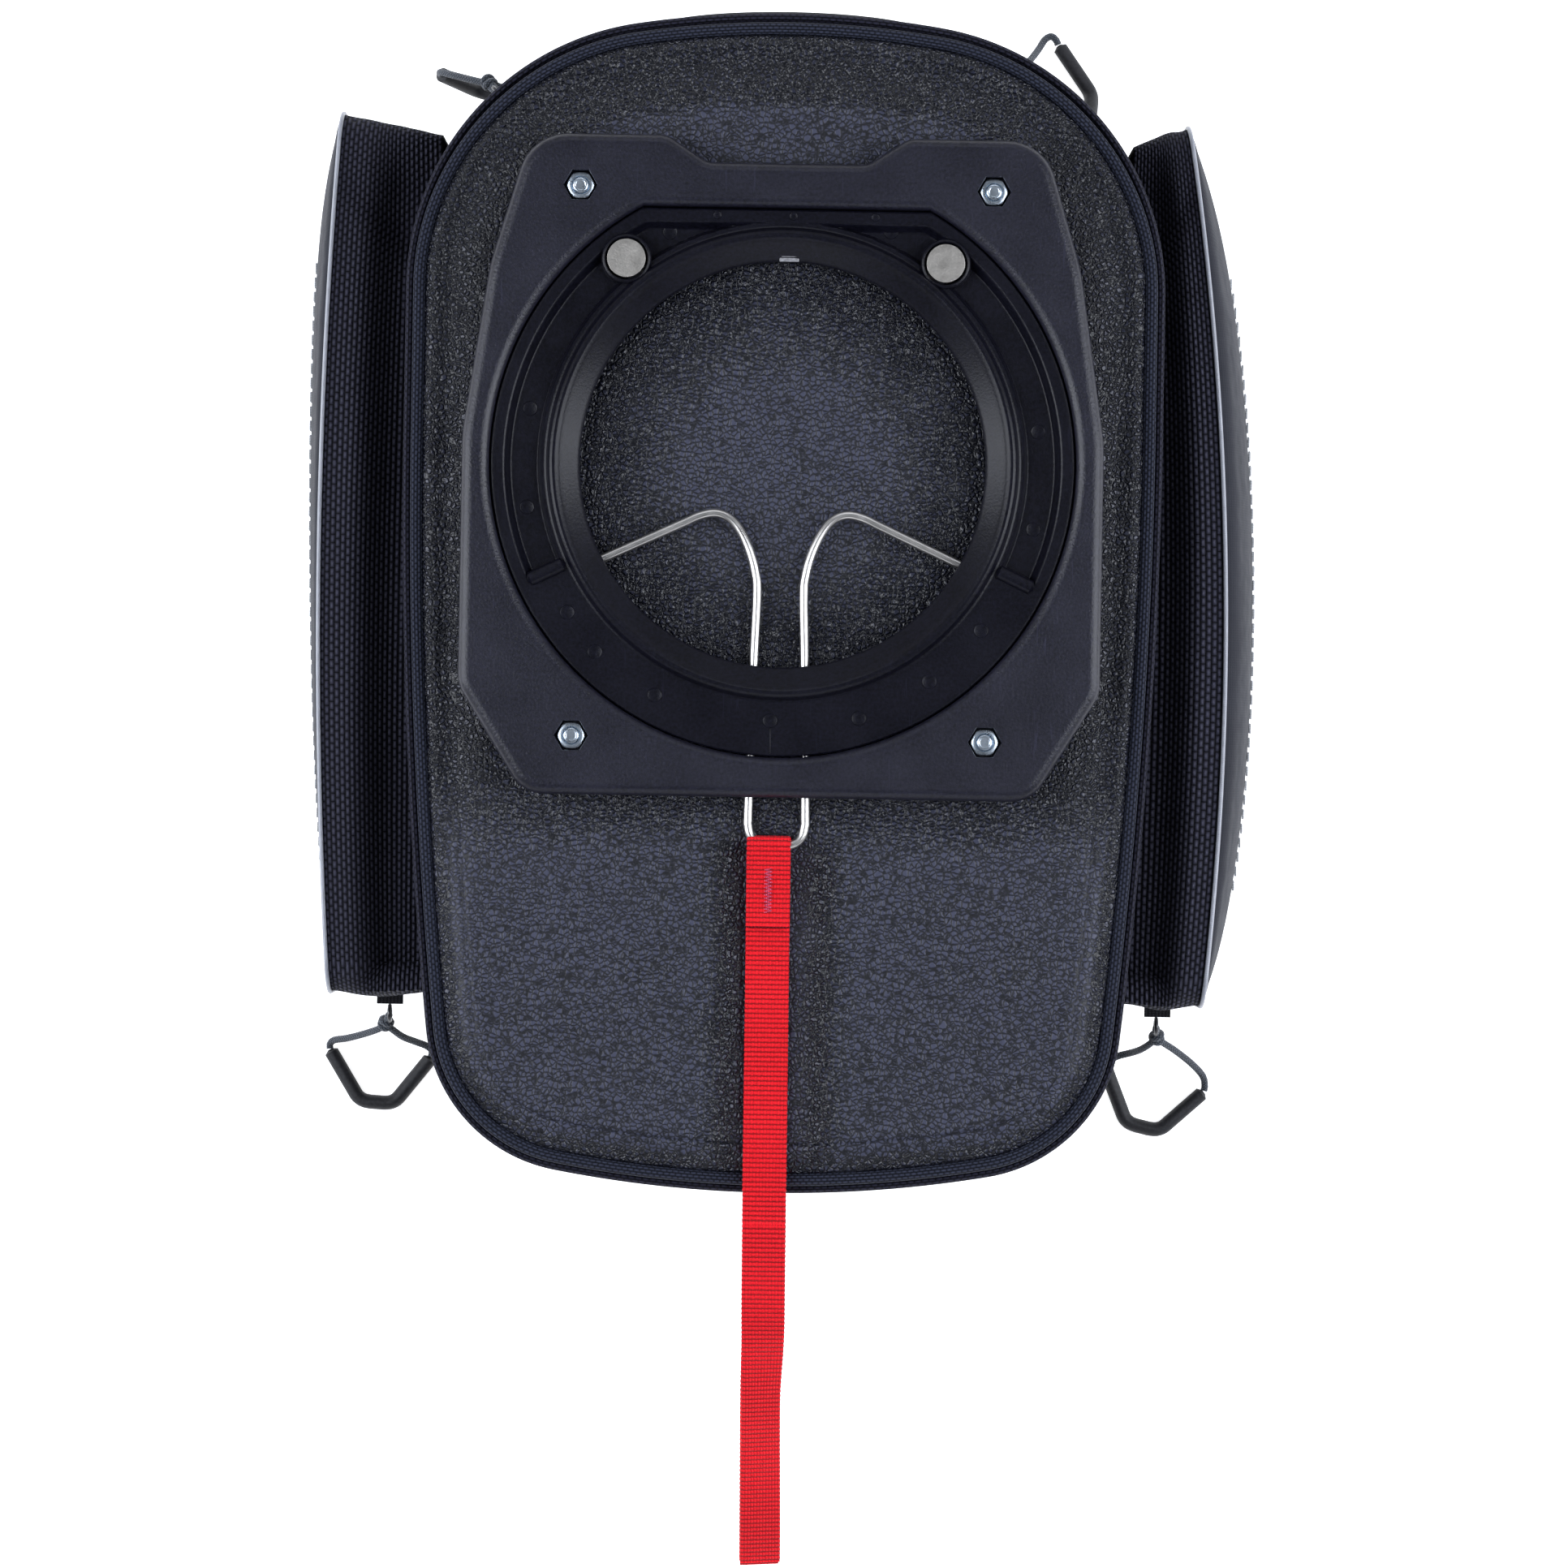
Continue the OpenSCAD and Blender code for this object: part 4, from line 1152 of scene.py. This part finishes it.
def strap_layer(path, width, offset, twisted=True):
    """One layer of webbing: rows of points round its section, ribbed along its faces."""
    along = np.gradient(path, axis=0)
    along /= np.linalg.norm(along, axis=1)[:, None]
    rows = []
    face = np.linspace(-1, 1, 23)
    section = [(t, 1) for t in face] + [(1, 0)] + [(t, -1) for t in face[::-1]] + [(-1, 0)]
    for spot, way, run in zip(path, along, running(path)):
        side = strap_side(spot[1]) if twisted else np.array([1, 0, 0])
        up = np.cross(side, way)
        centre = spot + (side - (1, 0, 0)) * width / 2 + up * offset
        beat = 2 * math.pi * run / ROW_PITCH
        rib = 0.10 * math.cos(beat)
        row = []
        for t, face in section:
            thin = 1 - 0.35 * max(0.0, abs(t) - 0.9) / 0.1 if face else 1.0
            body = WEB_T / 2 * thin + (rib if abs(t) < 0.97 else 0.4 * rib)
            edge = width / 2 * t * (1.0 + 0.012 * math.sin(beat))
            if not face:
                edge += math.copysign(0.12, t)
            row.append(centre + side * edge + up * body * face)
        rows.append(row)
    return rows


def strap_end(end):
    """The rounded fold at the strap's loose end."""
    side = strap_side(end[1]) * STRAP_W
    start = end - (STRAP_W / 2, 0, 0)
    turn = [(0, -1.35 * math.cos(a), 1.215 * math.sin(a)) for a in np.linspace(-math.pi / 2, math.pi / 2, 9)]
    return grid([[start + step + side * t for t in np.linspace(0.01, 0.99, 20)] for step in turn])


def strap_flap():
    """The strap's short end, which wraps round the wire and is sewn down on top."""
    reach = WIRE_R + WEB_T / 2 + 0.1
    turn = [(strap_x(-120), -120 + reach * math.cos(a), WIRE_Z + reach * math.sin(a))
            for a in np.linspace(math.radians(-115), math.radians(100), 16)]
    back = [(-126, -14.6), (-123, -13.9)]
    front = [(-124, -9.3), (-129, -10.5), (-136, -11.0), (FLAP_END, FLAP_Z)]
    back, front = ([(strap_x(max(y, -145)), y, z) for y, z in spots] for spots in (back, front))
    return smooth_path(back + turn + front, ROW_PITCH / 4)


def make_strap():
    route = smooth_path([(strap_x(y), y, z) for y, z in STRAP_ROUTE], ROW_PITCH / 4)
    layers = [strap_layer(route, STRAP_W, -WEB_T / 2), strap_layer(route, STRAP_W - 0.5, WEB_T / 2),
              strap_layer(strap_flap(), STRAP_W, 0.0, twisted=False)]
    parts = [grid(rows, around=True, caps=True) for rows in layers]
    strap = joined("release_strap", [*parts, strap_end(route[-1])], sharp=50)
    dress(strap, "strap", "release", ["pull_strap"])
    stitches = []
    for k in range(TACK_STITCHES):
        y = -127.0 - 0.56 * k
        lean = 0.25 if k % 2 else -0.25
        across, down = (*heading(lean), 0), (-math.sin(lean), math.cos(lean), 0)
        stitches.append(block((2.5, 0.42, 0.6), (strap_x(y), y, -9.65 - 0.03 * k), across, down, 0.14))
    dress(joined("strap_bar_tack", stitches), "tack", "release")
    # A dark red block at the flap's cut end: partly the melted cut edge and partly painted shade where the
    # flap ends over the strap
    cut_edge = block((STRAP_W - 0.2, 0.7, WEB_T), (strap_x(-145), FLAP_END - 0.2, FLAP_Z))
    dress(joined("strap_cut_end", [cut_edge]), "melted_edge_and_shade", "release")


# ---- side pockets

POCKET_TOP, POCKET_BOTTOM = -45.0, -140.0
POCKET_FRONT, POCKET_REAR = 114.0, -170.0
POCKET_ROUND, POCKET_FOOT = 9.0, 112.0
AROUND = 300

# Each pocket's side, and its seam and belly in plan: arc radius, Y of the widest place, reach there
POCKETS = {
    "left": (-1, (1970.0, -25.0, 148.7), (2045.0, 25.0, 156.0)),
    "right": (1, (1075.0, -62.0, 143.5), (782.0, -50.0, 156.5)),
}
MIDDLE_Z, HALF_Z = (POCKET_TOP + POCKET_BOTTOM) / 2, (POCKET_TOP - POCKET_BOTTOM) / 2


def arc_x(arc, y):
    radius, widest, reach = arc
    return reach - radius + np.sqrt(radius**2 - (y - widest) ** 2)


def panel_x(seam, belly, y, z):
    """How far out the panel stands: from the seam round its edge to the belly along its middle."""
    lift = np.sqrt(np.clip(1 - ((z - MIDDLE_Z) / HALF_Z) ** 2, 0, 1)) ** 0.9
    ends = np.sqrt(np.clip(1 - np.abs((y + 28) / 142.0) ** 5, 0, 1))
    return arc_x(seam, y) + (arc_x(belly, y) - arc_x(seam, y)) * lift * ends


def pocket_loop():
    """The pocket's outline in Y and Z, a rectangle with round corners, evenly sampled."""
    box = [(y, z, POCKET_ROUND) for y, z in ((POCKET_REAR, POCKET_BOTTOM), (POCKET_FRONT, POCKET_BOTTOM),
                                             (POCKET_FRONT, POCKET_TOP), (POCKET_REAR, POCKET_TOP))]
    return evenly(rounded_outline(box, 14), AROUND)


def pocket_gusset(side, edge, seam):
    """Rows of points from the bag's wall out to the seam, sagging and folded."""
    y, z, out_y, out_z = edge.T
    rows = []
    for t in np.linspace(0, 1, 16):
        arch = math.sin(math.pi * t)
        pinch = 1.5 * arch * ease(60, -60, y) - 6.0 * (1 - t) * ease(40, 100, y)
        pinch = pinch - 13.0 * ease(0.74, 0.36, t) * ease(0.5, 1.0, out_z) * ease(112, 84, y)
        x = POCKET_FOOT + (seam - POCKET_FOOT) * t
        spot = np.column_stack([x, y, z])
        fold = 1.6 * wander(spot * (1.0, 0.35, 0.6), 17, 4.0 * side) + 0.6 * wander(spot, 8, 2.0 * side)
        give = pinch + fold * math.sin(math.pi * min(1.0, t * 1.15)) ** 0.8
        crease = -3.2 * np.exp(-((y - 92 + 26 * (1 - t)) / 5.0) ** 2) * arch * (z > -60)
        rows.append(np.column_stack([side * x, y + out_y * give, z + out_z * (give + crease)]))
    return rows


def pocket_face(side, edge, seam_arc, belly_arc):
    """Rows of points from the seam round the panel to a line along its middle."""
    core_y = np.clip(edge[:, 0], POCKET_REAR + 45, POCKET_FRONT - 45)
    core = np.column_stack([core_y, np.full(AROUND, MIDDLE_Z)])
    rows = []
    for t in np.linspace(0, 1, 26) ** 1.5:
        y, z = (edge[:, :2] + (core - edge[:, :2]) * t).T
        x = panel_x(seam_arc, belly_arc, y, z)
        spot = np.column_stack([x, y, z])
        x = x - 0.5 * ease(0.02, 0.15, t) * (1 + wander(spot * (1, 0.5, 1), 26, 7.0))
        rows.append(np.column_stack([side * x, y, z]))
    return rows


def make_pocket(name, side, seam_arc, belly_arc):
    edge = pocket_loop()
    y, z, out_y, out_z = edge.T
    seam = arc_x(seam_arc, y)
    gusset = grid_piece(f"pocket_gusset_{name}", pocket_gusset(side, edge, seam), around=True)
    solid = gusset.modifiers.new("thickness", "SOLIDIFY")
    solid.thickness = 1.2 * MM
    solid.offset = -1
    dress(gusset, "gusset", replaces=[f"pocket_gusset_{name}"])
    panel = grid_piece(f"pocket_panel_{name}", pocket_face(side, edge, seam_arc, belly_arc), around=True)
    dress(panel, "panel", replaces=[f"pocket_panel_{name}"])
    path = np.column_stack([side * (seam + 0.5), y + out_y * 0.5, z + out_z * 0.5])
    path = np.concatenate([path[20:], path[:23]])
    path[-3:, 0] += side * np.array([0.4, 0.9, 1.3])
    pipe = joined(f"pocket_piping_{name}", [rod(path, 0.7, 12, 1.0)])
    dress(pipe, "reflective", replaces=[f"pocket_piping_{name}"])
    stitches = []
    for row_z in (-72.0, -76.5):
        for py in np.arange(66, -134, -4.7):
            x = float(panel_x(seam_arc, belly_arc, py, row_z))
            stitches.append(block((0.7, 3.3, 0.75), (side * (x - 0.1), py, row_z), round_by=0.25))
    dress(joined(f"pocket_stitching_{name}", stitches), "thread")
    make_pocket_zip(name)


def make_pocket_zip(name):
    low, high = corners(f"pocket_zip_{name}")
    middle = (low[0] + high[0]) / 2
    half = [(-4.5, 0), (-4.4, 0.7), (-1.2, 0.9)]
    section = half + [(0, 1.1)] + [(-x, drop) for x, drop in half[::-1]]
    run = np.linspace(low[1], high[1], 80)
    rows = [[(middle + x, y, high[2] - drop) for y in run] for x, drop in section]
    tape = grid_piece(f"pocket_zip_tape_{name}", rows, over=True)
    dress(tape, "tape", replaces=[f"pocket_zip_{name}"])
    teeth = [block((2.3, 0.95, 0.7), (middle, y, low[2] + 0.1), round_by=0.0)
             for y in np.arange(low[1] + 2, high[1] - 2, 1.6)]
    dress(joined(f"pocket_zip_coil_{name}", teeth), "teeth")


# ---- sliders and pulls

CORD_D, KNOT_R, GRIP_D = 2.4, 1.75, 5.0
GRIP_HALF, GRIP_BEND, GRIP_DEEP = 17.6, 5.8, 17.0

# Each pull: its eye, its knot, the middle of the grip's open side, the ways along and away from that side,
# the cord's length in metres and its two legs from the knot to the grip
PULLS = {
    "main": dict(
        eye=(78.8, 141, -150), knot=(80, 146, -152), mid=(91.4, 143.7, -155.8),
        side=(0.089, 0.756, -0.648), down=(0.758, -0.472, -0.449), length=0.06,
        leg_a=[(81, 148.4, -154), (83.4, 151.4, -159), (86, 155.4, -164), (88.2, 159, -166.6),
               (90.4, 160.2, -167.2), (92, 159, -167.2), (92.8, 157.4, -167.2)],
        leg_b=[(82.4, 144.4, -150.6), (84.4, 140.6, -147.8), (85.8, 135.4, -144.6), (87.2, 132, -143),
               (88.8, 130.9, -143.2), (89.6, 130.5, -144.2)]),
    "expansion": dict(
        eye=(-98.6, 131.4, -124.6), knot=(-102, 135.4, -129.5), mid=(-103, 136.5, -149.5),
        side=(-0.966, 0.256, 0), down=(0, 0, -1), length=0.07,
        leg_a=[(-104.4, 136, -131.2), (-110, 137.6, -134.6), (-115.6, 139.4, -138.6),
               (-119.4, 140.8, -143.4), (-120, 141, -149.2)],
        leg_b=[(-99.4, 134.8, -131.2), (-95, 133.8, -134), (-89.6, 132.9, -138.4), (-86.4, 132.1, -143.4),
               (-86, 132, -149.2)]),
    "left": dict(
        eye=(-131.4, -181.4, -145.2), knot=(-133, -184.8, -149.8), mid=(-136, -196.4, -167.2),
        side=(-0.998, 0.062, 0), down=(-0.062, -0.998, 0), length=0.07,
        leg_a=[(-135, -186.8, -151), (-140.4, -189, -155.6), (-147, -191, -161.4), (-152, -192, -165.8),
               (-153.6, -193.4, -167.2), (-153.6, -195.1, -167.2)],
        leg_b=[(-131.2, -187, -151), (-127.6, -190, -156.4), (-123.6, -192, -163.2), (-120, -193.6, -166.8),
               (-118.4, -195.2, -167.2), (-118.4, -197.2, -167.2)]),
    "right": dict(
        eye=(131, -181.4, -145.2), knot=(131.6, -185.2, -149.8), mid=(132.4, -200.8, -167.2),
        side=(0.973, -0.229, 0), down=(-0.229, -0.973, 0), length=0.074,
        leg_a=[(133.6, -187, -151), (139, -190.4, -155.6), (145, -195, -161.4), (149, -199.2, -165.8),
               (149.9, -202.6, -167.2), (149.6, -204.5, -167.2)],
        leg_b=[(130, -187.2, -151), (127, -189.8, -156.4), (124.2, -191.4, -163.4), (120, -192.8, -167),
               (116.4, -194.6, -167.2), (115.3, -196.8, -167.2)]),
}


def make_knot(name, knot, way):
    """Two turns of cord wound round the legs of the pull, leaning against each other."""
    one = unit(np.cross(way, (0.2, 0.4, 0.9)))
    two = np.cross(way, one)
    loops = []
    for shift, lean in ((-0.9, 0.72), (0.7, -0.72)):
        wound = []
        for a in np.linspace(0, 2 * math.pi, 28):
            around = math.cos(a) * one + math.sin(a) * two
            wound.append(knot + way * (shift + lean * math.sin(a)) + KNOT_R * around)
        loops.append(rod(wound, 1.05, 10))
    return joined(f"{name}_knot", loops, sharp=60)


def make_grip(name, mid, side, down):
    """A rubbery bar bent into half a hexagon, open towards the slider."""
    a, d = mid + GRIP_HALF * side, mid - GRIP_HALF * side
    b, c = (mid + GRIP_DEEP * down + GRIP_BEND * way for way in (side, -side))
    legs = [a + (b - a) * t for t in np.linspace(0, 0.86, 12)]
    legs += [b + (a - b) * 0.08 + (c - b) * 0.02, b + (a - b) * 0.02 + (c - b) * 0.12]
    legs += [b + (c - b) * t for t in np.linspace(0.3, 0.7, 4)]
    legs += [c + (d - c) * 0.02 + (b - c) * 0.12, c + (d - c) * 0.08 + (b - c) * 0.02]
    legs += [c + (d - c) * t for t in np.linspace(0.14, 1, 12)]
    return joined(f"{name}_grip", [rod(smooth_path(legs, 1.0), GRIP_D / 2, 16, 0.9)])


def make_pull(name, eye, knot, mid, side, down, leg_a, leg_b, length):
    body = f"{name}_pull"
    eye, knot, mid, side, down = (np.array(place, float) for place in (eye, knot, mid, side, down))
    hook = eye + (knot - eye) * 0.12
    bow = 0.8 * unit(np.cross(knot - eye, np.array(leg_a[1]) - np.array(leg_b[1])))
    path = smooth_path([*leg_a[::-1], knot + bow, hook, knot - bow, *leg_b], 0.5)
    swell = CORD_D / 2 * (1 + 0.04 * np.sin(2 * math.pi * running(path) / 1.3))
    cord = joined(f"{name}_cord", [rod(path, swell)])
    dress(cord, "cord", body, [f"{name}_pull_cord"])
    bundle = dress(make_knot(name, knot, unit(knot - eye)), "cord", body)
    grip = dress(make_grip(name, mid, side, down), "grip", body, [f"{name}_pull_grip"])
    soften(f"{name}_pull_tab", "enamel", 0.05)


# Half of a slider plate's outline, along and across, and the bridge's arch, along and up
WAIST = [(-6.0, 2.3), (-4.0, 3.5), (0, 3.9), (3.0, 3.9), (5.6, 2.6), (6.0, 1.6)]
BRIDGE = [(-4.2, -0.2), (-3.8, 0.8), (-2.6, 1.3), (0, 1.45), (2.6, 1.3), (3.8, 0.8), (4.2, -0.2)]
SLIDER_PLATE = 0.8


def make_slider(name, body, at, along, out):
    """A zip slider: two waisted plates, the neck between them and a bridge for the pull."""
    at, along, out = (np.array(value, float) for value in (at, along, out))
    across = np.cross(along, out)
    parts = []
    for height in (0.4, 2.9):
        rows = []
        for lift, grow in ((-0.5, -0.25), (-0.25, 0), (0.25, 0), (0.5, -0.25)):
            outline = [(l, w + grow) for l, w in WAIST] + [(l, -w - grow) for l, w in WAIST[::-1]]
            level_at = at + out * (height + lift * SLIDER_PLATE)
            rows.append([level_at + along * l + across * w for l, w in outline])
        parts.append(grid(rows, around=True, caps=True))
    parts.append(block((2.6, 2.0, 2.4), at + along * 3.6 + out * 1.6, along, across, 0.3))
    parts.append(rod(smooth_path([at + along * l + out * (3.2 + h) for l, h in BRIDGE], 0.5), 0.75, 10))
    dress(joined(f"{name}_body", parts, sharp=35), "enamel", body, [name])


def make_sliders():
    shoulder = outline_arcs()[3][0]
    for name, side, angle, z in (("main_slider", 1, 62.0, ZIP_Z), ("expansion_slider", -1, 130.5, -124.0)):
        out = np.array([*heading(math.radians(angle)), 0])
        at = np.array([side * shoulder[0], shoulder[1], z]) + out * (SHOULDER_R + 1.2)
        make_slider(name, name, at, (-out[1], out[0], 0), out)
    for name, side in (("left", -1), ("right", 1)):
        at = (side * 131.0, -172.0, -141.8)
        make_slider(f"pocket_slider_{name}", f"{name}_slider", at, (0, -1, 0), (0, 0, -1))


# ---- stage

def make_stage():
    half = 4.0
    points = [(-half, -half, 0), (half, -half, 0), (half, half, 0), (-half, half, 0)]
    floor = make_mesh("floor", np.array(points) / MM + (0, 0, FLOOR_Z), [(0, 1, 2, 3)])
    look = Look("white_table", (0.86, 0.87, 0.88), 0.9, specular_ior_level=0.1)
    look.shader.inputs["Emission Color"].default_value = (1, 1, 1, 1)
    look.shader.inputs["Emission Strength"].default_value = 0.9
    floor.data.materials.append(look.material)


# ---- the whole bag

make_camera()
for pull_name, pull in PULLS.items():
    make_pull(pull_name, **pull)
make_strap()
make_light()
make_stage()
make_base()
edge_section = rounded_band(4.2, BASE_Z - 8.2, BASE_Z - 3.1, 1.0, 18)
make_piping("edge_piping", edge_section, tuck(), "root", "base_piping")
make_wall()
make_lining()
make_plate()
make_ring()
make_fasteners()
make_wire()
for pocket_name, pocket in POCKETS.items():
    make_pocket(pocket_name, *pocket)
make_zip("main_zip", ZIP_Z + 0.2, ZIP_Z + 5.8, [ZIP_Z + 0.9], open_columns(), "root", ["main_zip_tape"])
make_zip("lid_zip", ZIP_Z - 5.8, ZIP_Z - 0.2, [ZIP_Z - 0.9], open_columns(), "lid", ["lid_zip_tape"])
make_zip("expansion", EXPANSION_LOW[2], EXPANSION_HIGH[2], [-124.8, -123.2], list(range(COLUMNS)), "root",
         ["expansion_zip"])
make_lid()
make_hinge_flap()
make_handle()
make_sliders()
